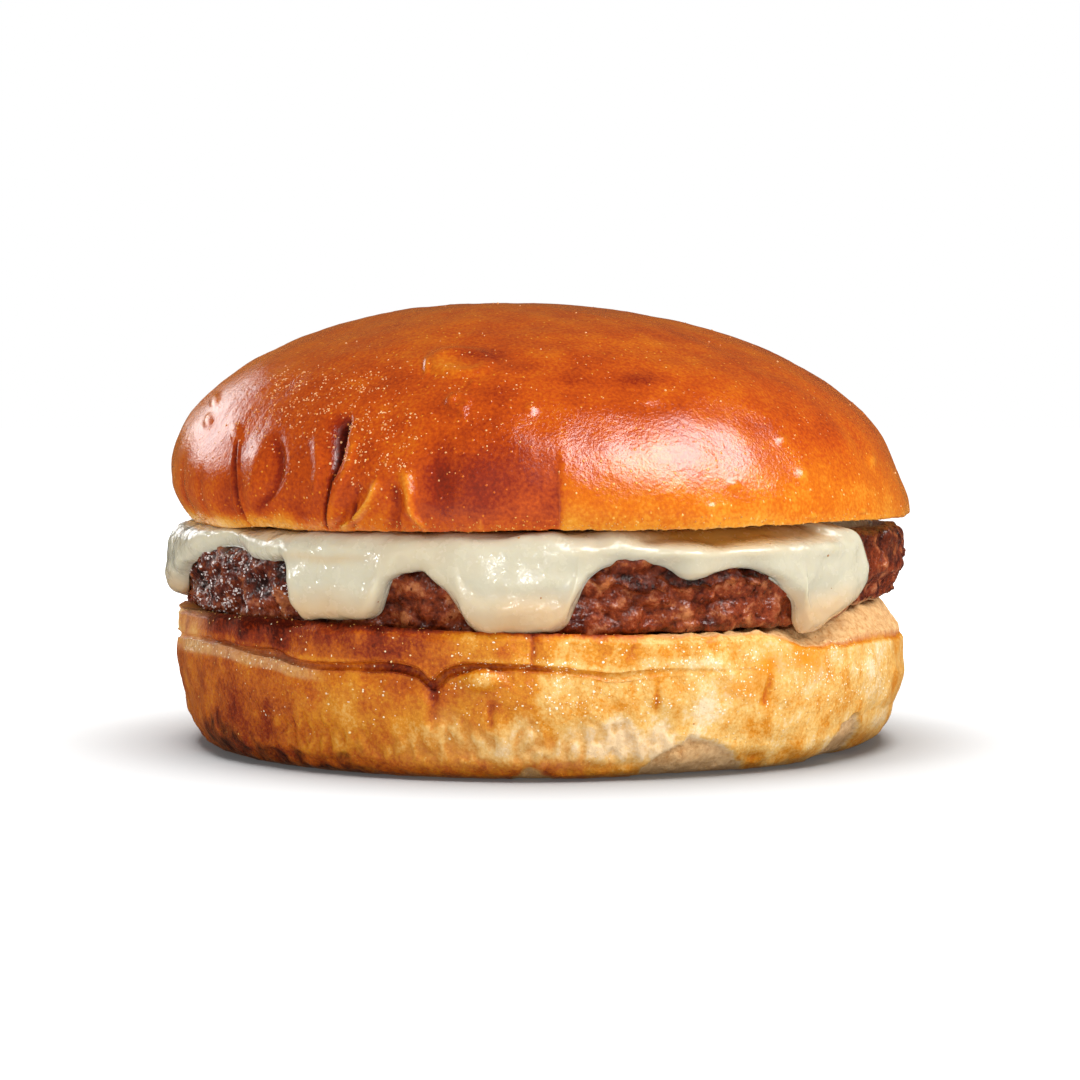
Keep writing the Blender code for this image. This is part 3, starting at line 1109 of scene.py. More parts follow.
    pale_left: Patch = Patch(-178.0, -60.0, 22.0, 8.0)
    pimply_shoulder: Patch = Patch(-129.0, -15.0, 14.0, 5.0, (43.5, 51.0, 2.0))
    pimply_fold: Patch = Patch(-114.0, -5.5, 5.5, 2.0, (37.0, 46.0, 2.0))
    pimply_front: Patch = Patch(-100.0, -30.0, 12.0, 8.0, (38.0, 54.0, 4.0))
    finish: BreadFinish = BreadFinish(
        "egg_washed_bun_crust",
        (
            (0.0, "#edb45c"), (0.16, "#df9128"), (0.33, "#cf6a10"),
            (0.5, "#b9490b"), (0.7, "#8a2607"), (1.0, "#3d0a04"),
        ),
        gloss=0.12,
        specular=1.0,
        mottle_share=0.2,
        speckle_share=0.34,
        peel=Grain(0.42, 3.0, 0.6),
        peel_depth=0.075,
        bloom=0.3,
        dots=0.95,
        dot_share=0.3,
    )

    def place(self, stretch: str, along: Array, degrees: Array) -> tuple[Array, Array, Array]:
        """The plain dome, the curl under its widest line and the cut face.

        Args:
            stretch, along, degrees: as in Food.place.

        Returns:
            X, Y and Z of each place.
        """
        radius = around(degrees, self.radii)
        curl = around(degrees, self.curl_heights)
        rim = radius - around(degrees, self.curl_insets)
        cut = self.stack.tilted(self.stack.crown_base, radius * np.cos(np.radians(degrees)))
        if stretch == "dome":
            turn = 0.5 * math.pi * along * (1.3 - 0.3 * along)
            x, y = on_ray(radius, degrees)
            x = self.apex_x + (x - self.apex_x) * np.sin(turn)
            y = y * np.sin(turn)
            rise = np.maximum(np.cos(turn), 0.0) ** around(degrees, self.shoulders)
            return x, y, cut + curl + (self.top - cut - curl) * rise
        if stretch == "curl":
            x, y = on_ray(radius + (rim - radius) * along * along, degrees)
            return x, y, cut + curl * (1.0 - along)
        x, y = on_ray(rim * (1.0 - along), degrees)
        return x, y, self.stack.tilted(self.stack.crown_base, x)

    def sculpt(self, form: Form) -> None:
        """Folds, hollow, blisters and the crumbly cut edge, and how brown each place is, with painted shade
        and light.

        Args:
            form: the plain form, which is changed.
        """
        points, degrees = form.points.copy(), form.degrees
        z = points[:, 2]
        crust = form.on("dome", "curl")
        low = z - self.stack.crown_base
        pressed, painted_shade_and_tone = self.press_creases(form)
        hollow = rising(away(degrees, self.hollow_from), *self.hollow_fade)
        hollow *= away(degrees, self.step_at) < 0.0
        hollow *= np.abs(away(degrees, self.hollow_middle)) < self.hollow_reach
        hollow *= window(z, *self.hollow_heights)
        turns = np.radians(degrees * 360.0 / self.flutes_apart) + swells(points, 30.0, 3)
        flutes = np.sin(turns) * self.flutes.on(degrees, z)
        pressed += self.step_depth * hollow + 0.1 * flutes
        flank = hump(z - self.flank_at, self.flank_height) * hump(away(degrees, 0.0), self.flank_width)
        pressed += self.flank_depth * flank
        form.push_out(-pressed * crust)
        spots = np.zeros(len(z))
        self.lay_spots(form, spots, painted_shade_and_tone)
        waves = 0.2 * swells(points, 24.0, 11) + 0.07 * swells(points, 7.0, 12)
        skin = 0.014 * swells(points, 1.3, 13, 40)
        form.raise_by((spots + waves + skin) * crust)
        ragged = hump(low - 0.4, 0.9) * form.on("curl", "face")
        form.points[:, 2] += ragged * 0.07 * (swells(points, 1.6, 14) + 0.8 * swells(points, 0.7, 15, 40))
        form.marks["browning"] = self.browning(points, degrees, hollow, flutes) + painted_shade_and_tone
        form.marks["crumb"] = form.on("face")
        clustered = np.clip(0.45 + 0.9 * swells(points, 2.6, 19), 0.03, 1.0)
        pimply = 0.8 * self.pimply_shoulder.on(degrees, z) + self.pimply_fold.on(degrees, z)
        pimply = pimply + 0.1 * self.pimply_front.on(degrees, z) * (1.0 - hollow) + 0.005
        form.marks["pimples"] = crust * clustered * pimply
        form.marks["matt"] = hollow
        form.marks["rim"] = crust * hump(low - 0.5, 0.8)

    def browning(self, points: Array, degrees: Array, hollow: Array, flutes: Array) -> Array:
        """How brown the crust is, from 0, straw, to 1, mahogany, but for its creases and spots, with
        painted light and shade laid in.

        Args:
            points: places on the plain form.
            degrees: their angles.
            hollow: 1 in the dark hollow.
            flutes: from -1 to 1 across the shallow flutes.

        Returns:
            The value at each place.
        """
        z = points[:, 2]
        low = z - self.stack.crown_base
        step = rising(away(degrees, self.step_at), -0.4, 0.4)
        # painted light: paler right of the step and low on the front right, where the key light falls
        painted_key_light = step * (1.0 - rising(away(degrees, 60.0), -35.0, 30.0)) * np.exp(-((low / 9.0) ** 2))
        rim_height = 1.2 + 0.3 * swells(points, 6.0, 16)
        pale_rim = (0.1 + 0.3 * self.pale_rim.on(degrees)) * np.exp(-((low / rim_height) ** 2))
        # painted shade: darker in the hollow and in the flutes' grooves
        tone = 0.5 + 0.09 * hollow + 0.05 * flutes - pale_rim - 0.2 * painted_key_light
        tone += 0.035 * swells(points, 14.0, 17) + 0.025 * swells(points, 5.0, 18)
        # painted shade over the creased front left
        tone += 0.05 * self.shade_in_folds.on(degrees, z)
        tone -= 0.16 * self.pale_left.on(degrees) * (1.0 - rising(z, 38.0, 52.0))
        tone -= 0.02 * rising(points[:, 0], 5.0, 42.0)
        return tone - 0.05 * rising(z, 50.0, 59.0) + 0.02 * window(z, 38.0, 50.0, 5.0)

    def density(self, degrees: Array) -> Array:
        """Most meridians where the creases are."""
        return super().density(degrees) + 1.5 * hump(away(degrees, -126.0), 16.0)


# ---------------------------------------------------------------------------------------------
# Patty


@dataclass
class Patty(Food):
    """The patty: ground beef whose side is open mince, charred where its top edge met the grill."""

    name: str = "patty_meat"
    node: str = "patty"
    slot: str = "seared_beef"
    rings: dict[str, int] = field(
        default_factory=lambda: {"top": 8, "shoulder": 28, "side": 52, "foot": 22, "base": 8}
    )
    meridians: int = 800
    stack: Stack = Stack()
    radii: Knots = (
        (0, 51.2), (50, 49.8), (90, 50.3), (140, 49.6), (180, 50.3), (225, 49.8), (270, 49.4),
        (315, 50.2),
    )
    shoulder: float = 2.8
    foot: float = 1.3
    lean: float = 0.7
    char_line: Knots = (
        (0, 27.5), (-40, 26.2), (-54, 24.8), (-62, 24.4), (-67, 24.3), (-70, 23.3), (-74, 23.3),
        (-78, 24.4), (-82, 25.4), (-110, 25.5), (-130, 23.0), (-150, 21.5), (-180, 23.0), (-220, 26.0),
        (-270, 24.5), (-310, 26.0),
    )
    mince: float = 2.7
    warp: tuple[float, float, float] = (1.6, 1.6, 2.2)
    crumble: float = 0.95
    mince_depth: float = 1.25
    crumble_depth: float = 0.6
    flap: Patch = Patch(-68.0, -14.0, 14.0, 3.0)
    gritty: Patch = Patch(-68.0, -18.0, 20.0, 4.0)
    bare: Patch = Patch(-20.0, -14.0, 30.0, 4.0)
    greasy_left: Patch = Patch(-152.0, -22.0, 24.0, 6.0)
    pink: Patch = Patch(-50.0, -34.0, 60.0, 10.0)
    sparkling: Patch = Patch(-150.0, -14.0, 13.0, 3.0)
    sparkling_most: Patch = Patch(-130.5, -2.5, 2.0, 1.0)
    finish: BeefFinish = BeefFinish()

    @property
    def side_height(self) -> float:
        """How tall the side is between its rounded shoulder and foot."""
        return self.stack.patty - self.shoulder - self.foot

    def side(self, degrees: Array, depth: Array) -> Array:
        """The radius of the side at a depth below its shoulder."""
        return around(degrees, self.radii) - self.lean * eased(depth / (self.side_height + self.foot))

    def level(self, drop: Array, x: Array, y: Array) -> Array:
        """The height at a drop below the patty's top face.

        Args:
            drop: how far down the patty the place is, were it level.
            x, y: where it is.

        Returns:
            The height at each place.
        """
        base = self.stack.face(x, y) + self.stack.gap
        return base + (self.stack.tilted(self.stack.patty_top, x) - base) * (1.0 - drop / self.stack.patty)

    def place(self, stretch: str, along: Array, degrees: Array) -> tuple[Array, Array, Array]:
        """The plain top face, shoulder, side, foot and base.

        Args:
            stretch, along, degrees: as in Food.place.

        Returns:
            X, Y and Z of each place.
        """
        radius = around(degrees, self.radii)
        foot_radius = self.side(degrees, self.side_height)
        turn = 0.5 * math.pi * along
        if stretch == "top":
            reach, drop = (radius - self.shoulder) * along, 0.0 * along
        elif stretch == "shoulder":
            reach = radius - self.shoulder * (1.0 - np.sin(turn))
            drop = self.shoulder * (1.0 - np.cos(turn))
        elif stretch == "side":
            drop = self.shoulder + self.side_height * along
            reach = self.side(degrees, drop - self.shoulder)
        elif stretch == "foot":
            reach = foot_radius - self.foot * (1.0 - np.cos(turn))
            drop = self.stack.patty - self.foot * (1.0 - np.sin(turn))
        else:
            reach, drop = (foot_radius - self.foot) * (1.0 - along), self.stack.patty + 0.0 * along
        x, y = on_ray(reach, degrees)
        return x, y, self.level(drop, x, y)

    def sculpt(self, form: Form) -> None:
        """Lumps, the charred flap that stands off the side, and where the meat is charred or pink.

        Args:
            form: the plain form, which is changed.
        """
        points, degrees = form.points.copy(), form.degrees
        z = points[:, 2]
        outside = form.on("shoulder", "side", "foot")
        ragged = 0.5 * swells(points, 5.0, 21) + 0.3 * swells(points, 1.8, 22)
        over = z - around(degrees, self.char_line) - ragged
        above = rising(over, -0.15, 0.35)
        flap = above * (1.0 - rising(over, 0.6, 3.5)) * self.flap.on(degrees)
        lumps = 0.35 * swells(points, 9.0, 23) + 0.3 * swells(points, 4.2, 24) + 0.1
        bare = self.bare.on(degrees)
        wander = z + 0.5 * swells(points, 8.0, 27)
        bands = 0.4 * hump(wander - 29.6, 1.0) - 0.5 * hump(wander - 27.2, 0.8)
        bands = bare * (bands - 0.6 * hump(wander - 23.6, 1.0) - 1.3 * rising(-z, -25.0, -21.5))
        form.push_out(outside * (lumps + 0.9 * flap + bands))
        form.points[:, 2] += bare * (0.8 * form.on("top", "shoulder") + 1.4 * rising(-z, -24.0, -18.0))
        left = self.greasy_left.on(degrees)
        char = above * (0.95 - 0.5 * bare) + 0.3 * left + 0.25 * swells(points, 6.0, 25) * outside
        form.marks["char"] = char
        blush = self.pink.on(degrees) * (1.0 - above) * (0.6 + 0.5 * swells(points, 4.0, 26))
        form.marks["blush"] = blush + 0.35 * left * (1.0 - above)
        form.marks["open"] = outside * (1.0 - 0.45 * bare) * (0.5 + 0.5 * rising(z, 18.5, 21.5))
        form.marks["gritty"] = above * self.gritty.on(degrees)
        # painted highlights: the pale beads strewn here stand for sparkles, and partly for pale fat
        sparkling = self.sparkling.on(degrees) + 1.4 * self.sparkling_most.on(degrees)
        form.marks["glints"] = outside * (sparkling * (0.6 + 0.9 * swells(points, 3.0, 28)))
        form.marks["wet"] = outside * (0.25 + 0.9 * left + 0.35 * (1.0 - above))

    def mince_tree(self, material: Material) -> Tree:
        """A geometry tree that breaks the skin into mince: cells of meat with pits between them, whose
        depth the material also paints as shade.

        Args:
            material: the meat's material.

        Returns:
            The tree.
        """
        tree, source = geometry_tree(
            "mince",
            {
                "Mince": self.mince * MM,
                "Crumble": self.crumble * MM,
                "Mince Depth": self.mince_depth * MM,
                "Crumble Depth": self.crumble_depth * MM,
            },
        )
        place = add(tree, "GeometryNodeInputPosition").outputs[0]
        per_mince = reckon(tree, "DIVIDE", 1.0, source.outputs["Mince"])
        inputs = {"Vector": place, "Scale": per_mince, "Detail": 2.0}
        wander = add(tree, "ShaderNodeTexNoise", inputs).outputs["Color"]
        inputs = {0: wander, 1: tuple(share * MM for share in self.warp), 2: place}
        warped = add(tree, "ShaderNodeVectorMath", inputs, operation="MULTIPLY_ADD").outputs[0]
        inputs = {"Vector": warped, "Scale": per_mince, "Smoothness": 0.35}
        cells = add(tree, "ShaderNodeTexVoronoi", inputs, feature="SMOOTH_F1").outputs["Distance"]
        per_crumble = reckon(tree, "DIVIDE", 1.0, source.outputs["Crumble"])
        inputs = {"Vector": place, "Scale": per_crumble, "Detail": 3.0, "Roughness": 0.6}
        crumbs = add(tree, "ShaderNodeTexNoise", inputs).outputs[0]
        pit = reckon(tree, "MULTIPLY", cells, 1.1)
        sunk = reckon(tree, "MULTIPLY", sums(tree, (pit, 0.4, 1.0)), source.outputs["Mince Depth"])
        uneven = sums(tree, (crumbs, 0.5, 1.0))
        rough = reckon(tree, "MULTIPLY_ADD", uneven, source.outputs["Crumble Depth"], sunk)
        inward = reckon(tree, "MULTIPLY", reckon(tree, "MULTIPLY", rough, named(tree, "open")), -1.0)
        inputs = {0: add(tree, "GeometryNodeInputNormal").outputs[0], "Scale": inward}
        offset = add(tree, "ShaderNodeVectorMath", inputs, operation="SCALE").outputs[0]
        inputs = {"Geometry": source.outputs[0], "Name": "pit", "Value": pit}
        kept = add(tree, "GeometryNodeStoreNamedAttribute", inputs, data_type="FLOAT", domain="POINT")
        inputs = {"Geometry": kept.outputs[0], "Offset": offset}
        moved = add(tree, "GeometryNodeSetPosition", inputs).outputs[0]
        end_tree(tree, moved, material)
        return tree

    def build(self) -> Piece:
        """The patty with its mince broken open.

        Returns:
            The piece, which stands for the patty's solid.
        """
        piece = super().build()
        grow(piece, self.mince_tree(piece.data.materials[0]))
        return piece


# ---------------------------------------------------------------------------------------------
# Cheese


@dataclass
class Cheese(Food):
    """The slice: it lies on the patty, and its melted lobes hang down the patty's side.

    Attributes:
        patty: the patty that it drapes over.
        edge: how far it reaches down the patty, along the patty's section from its top face's end.
        shelf: the reach where it starts to be shaped.
        rounding: over what distance from its edge it thins out.
        slant: by how many degrees a millimetre its right end leans back towards its top.
        slant_from: the reach from which it leans.
        sunk: how far its underside lies in the patty's skin, so that no gap shows.
    """

    name: str = "cheese_slice"
    node: str = "cheese"
    slot: str = "melted_cheese"
    rings: dict[str, int] = field(default_factory=lambda: {"top": 4, "edge": 76, "hang": 34, "under": 4})
    meridians: int = 820
    stack: Stack = Stack()
    patty: Patty = field(default_factory=Patty)
    edge: Knots = (
        (-30.4, -1.0), (-31.4, 2.0), (-32.4, 6.0), (-33.6, 8.5), (-36.2, 10.2), (-40.7, 11.5),
        (-44.8, 13.3), (-47.2, 13.3), (-48.5, 12.0), (-49.3, 9.6), (-50.8, 8.3), (-53.6, 6.9),
        (-58.5, 4.8), (-63.5, 5.1), (-67.5, 5.7), (-72.8, 4.0), (-77.5, 3.8), (-80.6, 4.4),
        (-82.6, 5.6), (-83.9, 7.2), (-86.0, 10.9), (-89.0, 12.0), (-97.5, 12.0), (-100.4, 10.9),
        (-102.2, 8.5), (-105.7, 5.6), (-107.5, 4.7), (-109.7, 4.9), (-112.0, 6.1), (-113.0, 8.0),
        (-114.2, 10.2), (-116.4, 10.9), (-126.4, 10.9), (-128.0, 9.4), (-129.2, 5.4), (-131.0, 3.8),
        (-134.5, 3.9), (-139.0, 3.3), (-146.0, 2.0), (-151.0, 2.8), (-157.0, 4.6), (-163.0, 6.8),
        (-168.0, 9.8), (-174.0, 11.4), (-184.0, 11.6), (-192.0, 8.2), (-203.0, 4.4), (-214.0, 5.6),
        (-223.0, 10.6), (-236.0, 11.2), (-243.0, 7.0), (-252.0, 3.6), (-266.0, 5.0), (-277.0, 9.2),
        (-286.0, 9.8), (-294.0, 5.2), (-305.0, 3.2), (-316.0, 7.8), (-324.0, 10.4), (-333.0, 7.2),
        (-341.0, 3.2), (-352.0, -1.4), (-384.0, -1.8),
    )
    slant: float = 0.9
    slant_from: float = 7.3
    shelf: float = -4.0
    rounding: float = 1.5
    sunk: float = 0.35
    leaning: Patch = Patch(-29.0, -12.0, 8.0, 5.0)
    behind: Patch = Patch(-56.0, -19.0, 17.0, 5.0)
    pocket_at: tuple[float, float] = (-61.0, 31.0)
    pocket_size: tuple[float, float] = (9.0, 1.6)
    fold_shading: Patch = Patch(-122.0, -8.0, 6.0, 6.0)
    under_rim: Patch = Patch(-75.0, -40.0, 55.0, 10.0)
    yellow_lobe: Patch = Patch(-108.0, -6.0, 6.0, 4.0)
    spots: tuple[Spot, ...] = (
        Spot(-33.0, 28.6, 4.2, 0.9, 0.45),
        Spot(-31.0, 25.6, 5.0, 1.6, 0.15),
        Spot(-26.0, 28.3, 4.0, 0.8, -0.35),
        Spot(-21.5, 22.8, 1.6, 1.5, 0.4),
        Spot(-31.6, 22.6, 1.2, 1.4, 0.35),
        Spot(-1.5, 24.8, 3.8, 1.6, 0.55),
        Spot(-4.5, 21.9, 5.6, 1.4, 0.5),
        Spot(3.2, 27.0, 2.0, 1.5, -0.4),
        Spot(8.5, 29.3, 4.2, 0.9, 0.4),
        Spot(16.8, 28.6, 3.8, 0.7, 0.35),
        Spot(29.0, 26.5, 3.5, 2.5, 0.25),
    )
    finish: CheeseFinish = CheeseFinish()

    def density(self, degrees: Array) -> Array:
        """Most meridians at the front left, and where the edge is steep."""
        climb = (around(degrees + 0.25, self.edge) - around(degrees - 0.25, self.edge)) / math.radians(0.5)
        return super().density(degrees) * np.sqrt(1.0 + (0.8 * climb / self.stack.radius) ** 2)

    def shore(self, reach: Array, degrees: Array) -> Array:
        """How far a place on the slice is from the nearest part of its melted edge.

        Args:
            reach: how far down the slice each place is.
            degrees: the angle of each place.

        Returns:
            The distance of each place.
        """
        nearest = np.abs(around(degrees, self.edge) - reach)
        for offset in np.linspace(-4.0, 4.0, 81):
            across = math.radians(offset) * self.stack.radius
            below = np.maximum(around(degrees + offset, self.edge) - reach, 0.0)
            nearest = np.minimum(nearest, np.hypot(across, below))
        return nearest

    def draped(self, degrees: Array, reach: Array, lift: Array) -> tuple[Array, Array, Array]:
        """A place at a lift off the patty, a reach along its section from its top face's end.

        Args:
            degrees: the angle of each place.
            reach: how far along the section it is.
            lift: how far off the patty it is.

        Returns:
            X, Y and Z of each place.
        """
        patty, stack = self.patty, self.stack
        radius = around(degrees, patty.radii)
        bend = patty.shoulder + lift
        arc = 0.5 * math.pi * (patty.shoulder + stack.gap)
        turn = 0.5 * math.pi * np.clip(reach / arc, 0.0, 1.0)
        power = 1.0 - 0.3 * np.clip(lift / (stack.gap + stack.cheese), 0.0, 1.0)
        out = radius - patty.shoulder + bend * np.sin(turn) ** power
        drop = patty.shoulder - bend * np.maximum(np.cos(turn), 0.0) ** power
        out = np.where(reach <= 0.0, radius - patty.shoulder + reach, out)
        out = np.where(reach > arc, patty.side(degrees, reach - arc) + lift, out)
        drop = np.where(reach > arc, patty.shoulder + reach - arc, drop)
        slant = self.slant * np.clip(self.slant_from - reach, 0.0, 9.0) * self.leaning.on(degrees)
        x, y = on_ray(out, degrees - slant)
        height = np.where(drop < 0.0, stack.tilted(stack.patty_top, x) - drop, patty.level(drop, x, y))
        return x, y, height

    def place(self, stretch: str, along: Array, degrees: Array) -> tuple[Array, Array, Array]:
        """The upper side out to the melted edge, then back underneath.

        Args:
            stretch, along, degrees: as in Food.place.

        Returns:
            X, Y and Z of each place.
        """
        stack = self.stack
        edge = around(degrees, self.edge)
        middle = -(around(degrees, self.patty.radii) - self.patty.shoulder)
        full = stack.gap + stack.cheese
        if stretch == "top":
            return self.draped(degrees, middle + (self.shelf - middle) * along, full + 0.0 * along)
        if stretch == "under":
            return self.draped(degrees, self.shelf + (middle - self.shelf) * along, stack.gap + 0.0 * along)
        if stretch == "hang":
            lift = -self.sunk * eased(3.0 * along) * (1.0 - eased(3.0 * along - 2.0))
            lift += stack.gap * eased(3.0 * along - 2.0)
            return self.draped(degrees, edge + (self.shelf - edge) * along, lift)
        reach = self.shelf + (edge - self.shelf) * np.sin(0.5 * math.pi * along)
        thin = 1.0 - np.minimum(self.shore(reach, degrees) / self.rounding, 1.0)
        drip = rising(edge, 7.5, 11.0) * window(edge - reach, 0.8, 4.0, 1.2)
        thickness = full + 0.55 * drip
        return self.draped(degrees, reach, thickness * np.sqrt(np.maximum(1.0 - thin * thin, 0.0)))

    def sculpt(self, form: Form) -> None:
        """Soft swells, the sunken strip behind the right lip, and where painted shade, yellowing and edges
        are.

        Args:
            form: the plain form, which is changed.
        """
        points, degrees = form.points.copy(), form.degrees
        z = points[:, 2]
        skin = form.on("edge")
        behind = self.behind.on(degrees)
        recess = behind * window(z, 30.0, 34.0, 0.6)
        crest = behind * hump(z - 28.9, 0.9)
        pocket = hump(away(degrees, self.pocket_at[0]), self.pocket_size[0])
        pocket *= hump(z - self.pocket_at[1], self.pocket_size[1])
        form.push_out(skin * (0.45 * crest - 2.4 * recess - 1.4 * pocket))
        raised = 0.28 * swells(points, 9.0, 31) + 0.1 * swells(points, 3.6, 32)
        raised += 0.02 * swells(points, 1.5, 34, 40)
        self.lay_spots(form, raised, np.zeros(len(z)))
        form.raise_by(raised * skin * rising(form.reach, 46.0, 49.5))
        # painted shade: gold-brown where the left lobe bends, under the crown's rim, in the sunken strip
        # and in the pocket; one patch on the front lobe is only yellower
        shading_and_yellowing = 0.3 * hump(z - 28.2 - 0.4 * swells(points, 9.0, 33), 0.6) * self.fold_shading.on(degrees)
        shading_and_yellowing += 0.02 * hump(z - 31.9, 0.7) * self.under_rim.on(degrees)
        shading_and_yellowing += 0.12 * self.yellow_lobe.on(degrees) + 0.6 * recess + 0.9 * pocket
        form.marks["fold"] = shading_and_yellowing
        form.marks["edge"] = skin * (1.0 - rising(z, 20.0, 25.5)) * 0.85
        form.marks["specks"] = skin * rising(form.reach, 48.0, 50.0)


# ---------------------------------------------------------------------------------------------
# Heel


@dataclass
class Heel(Food):
    """The bun's bottom: a band of browned crust over a crease, then a pale puckered side and a foot."""

    name: str = "heel_crust"
    node: str = "heel"
    slot: str = "golden_crust"
    rings: dict[str, int] = field(
        default_factory=lambda: {"face": 8, "slope": 16, "lip": 30, "side": 60, "foot": 20, "base": 6}
    )
    meridians: int = 700
    stack: Stack = Stack()
    radii: Knots = ((0, 51.5), (90, 51.0), (180, 51.8), (225, 51.6), (270, 51.4), (315, 51.2))
    edge_heights: Knots = (
        (0, 15.9), (40, 17.2), (90, 18.6), (140, 18.9), (180, 19.1), (225, 19.8), (270, 18.9),
        (290, 18.5), (304, 18.3), (309, 17.4), (313.5, 16.2), (320, 16.2), (329, 16.5), (350, 15.9),
    )
    crease_line: Knots = (
        (0, 10.0), (90, 11.5), (140, 11.0), (170, 12.0), (-182, 14.6), (-165, 15.6), (-151.5, 16.0),
        (-145, 16.0), (-138, 15.4), (-132, 15.1), (-129, 14.5), (-123.5, 14.1), (-117.5, 14.3),
        (-112, 14.4), (-107.5, 13.7), (-105.5, 12.3), (-103.3, 13.8), (-101, 14.4), (-95.5, 14.7),
        (-88, 14.4), (-83, 13.8), (-79.5, 13.3), (-72, 13.8), (-60, 13.6), (-45, 13.0),
    )
    crease_depths: Knots = (
        (0, 0.0), (90, 0.5), (140, 1.0), (170, 0.7), (-165, 0.6), (-151, 0.8), (-140, 1.1),
        (-120, 0.75), (-106, 1.2), (-90, 0.75), (-80, 0.42), (-72, 0.2), (-60, 0.1), (-50, 0.0),
    )
    foot_insets: Knots = (
        (0, 6.0), (90, 5.0), (180, 6.4), (232, 5.2), (270, 5.0), (292, 6.4), (312, 5.8), (332, 7.4),
    )
    foot_heights: Knots = (
        (0, 5.6), (90, 4.0), (180, 6.4), (232, 3.8), (270, 3.0), (292, 5.0), (312, 3.8), (332, 6.2),
    )
    slope_width: float = 4.6
    lip_width: float = 0.9
    lean: float = 1.3
    overhang: float = 0.5
    crease_run: float = 3.0
    ledge_drop: float = 1.9
    puckers: Patch = Patch(-101.0, -36.0, 34.0, 7.0)
    left_band: Patch = Patch(-150.0, -36.0, 60.0, 8.0)
    torn_left: Patch = Patch(-172.0, -26.0, 20.0, 4.0)
    strip: Patch = Patch(-141.0, -20.0, 16.0, 4.0)
    open_slope: Patch = Patch(-20.0, -52.0, 100.0, 5.0)
    heap: Patch = Patch(-14.0, -24.0, 40.0, 8.0)
    front: Patch = Patch(-120.0, -45.0, 45.0, 6.0)
    browner_left: Patch = Patch(-165.0, -25.0, 32.0, 12.0)
    browner_front: Patch = Patch(-133.0, -8.0, 11.0, 6.0)
    paler_front: Patch = Patch(-80.0, -12.5, 14.0, 4.0, (3.0, 13.6, 1.5))
    dark_edge: Patch = Patch(-20.0, -32.0, 70.0, 8.0)
    shining: Patch = Patch(-70.0, -6.0, 7.0, 2.5)
    singed: Patch = Patch(-139.0, -19.0, 23.0, 4.0)
    sheen: Patch = Patch(-60.0, -42.0, 34.0, 10.0, (8.5, 17.0, 2.0))
    few_oil_glints: Patch = Patch(-80.0, -60.0, 50.0, 10.0)
    # creases: their tones are painted shade in the furrows
    creases: tuple[Crease, ...] = (
        Crease(((7.5, -105.8), (10.0, -105.4), (12.4, -105.6)), (0.8, 0.5), (0.45, 0.4), tone=0.22),
        Crease(((6.8, -97.0), (8.6, -97.0), (10.3, -96.8)), (0.5, 0.5), (0.4, 0.3), tone=0.3),
        Crease(((8.6, -73.0), (10.4, -73.0), (12.0, -73.0)), (0.4, 0.35), (0.3, 0.2), tone=0.24),
        Crease(((15.0, -91.2), (17.0, -91.0), (19.0, -91.0)), (0.35, 0.35), (0.25, 0.3), tone=0.25),
        Crease(((15.4, -77.5), (16.6, -77.0), (17.6, -76.0)), (0.3, 0.3), (0.25, 0.3), tone=0.2),
        Crease(((9.0, -55.5), (12.0, -54.6), (14.6, -54.6)), (0.5, 0.5), (0.35, 0.3), tone=0.25),
    )
    # tones: the dent is darker as painted shade; the knob is paler
    spots: tuple[Spot, ...] = (
        Spot(-7.3, 13.2, 2.4, 1.25, 1.25, -0.25, 4.0),
        Spot(-12.3, 8.5, 1.6, 2.5, -0.35, 0.12),
        Spot(-33.0, 8.0, 3.0, 3.5, 0.2, 0.0),
        Spot(16.0, 7.0, 6.0, 2.0, -0.25, 0.0),
    )
    finish: BreadFinish = BreadFinish(
        "golden_bun_crust",
        (
            (0.0, "#f3dab0"), (0.2, "#eaba68"), (0.4, "#d98a1a"),
            (0.6, "#c05f08"), (0.8, "#8f2f06"), (1.0, "#481005"),
        ),
        gloss=0.36,
        specular=0.3,
        mottle=Grain(1.8, 4.0, 0.65, 1.6),
        mottle_share=0.38,
        speckle=Grain(0.45, 2.0, 0.6),
        speckle_share=0.45,
        peel=Grain(0.55, 3.0, 0.65),
        peel_depth=0.15,
    )

    def place(self, stretch: str, along: Array, degrees: Array) -> tuple[Array, Array, Array]:
        """The plain cut face, slope, lip, side, foot and base.

        Args:
            stretch, along, degrees: as in Food.place.

        Returns:
            X, Y and Z of each place.
        """
        radius = around(degrees, self.radii)
        edge = around(degrees, self.edge_heights)
        crease = around(degrees, self.crease_line)
        depth = around(degrees, self.crease_depths)
        inset, foot = around(degrees, self.foot_insets), around(degrees, self.foot_heights)
        face_radius, rim_radius = radius - self.slope_width, radius - self.lip_width
        foot_radius = radius - self.lean
        if stretch == "face":
            x, y = on_ray(face_radius * along, degrees)
            return x, y, self.stack.face(x, y)
        if stretch == "slope":
            x, y = on_ray(face_radius + (rim_radius - face_radius) * along, degrees)
            return x, y, self.stack.face(x, y) * (1.0 - eased(along)) + edge * eased(along)
        if stretch == "lip":
            down = 1.0 - (1.0 - along) ** 1.6
            turned = self.lip_width * np.sin(0.5 * math.pi * np.minimum(down / 0.22, 1.0))
            left = (1.0 - down) * (edge - crease)
            x, y = on_ray(rim_radius + turned - depth * (1.0 - rising(left, 0.0, self.overhang)), degrees)
            return x, y, edge + (crease - edge) * down
        if stretch == "side":
            down = (crease - foot) * along**1.4
            out = 0.55 * rising(down, 0.0, 0.45) + 0.45 * rising(down, 0.2, self.crease_run)
            x, y = on_ray(radius - depth * (1.0 - out) - self.lean * along * along, degrees)
            return x, y, crease - down
        if stretch == "foot":
            turn = 0.5 * math.pi * along
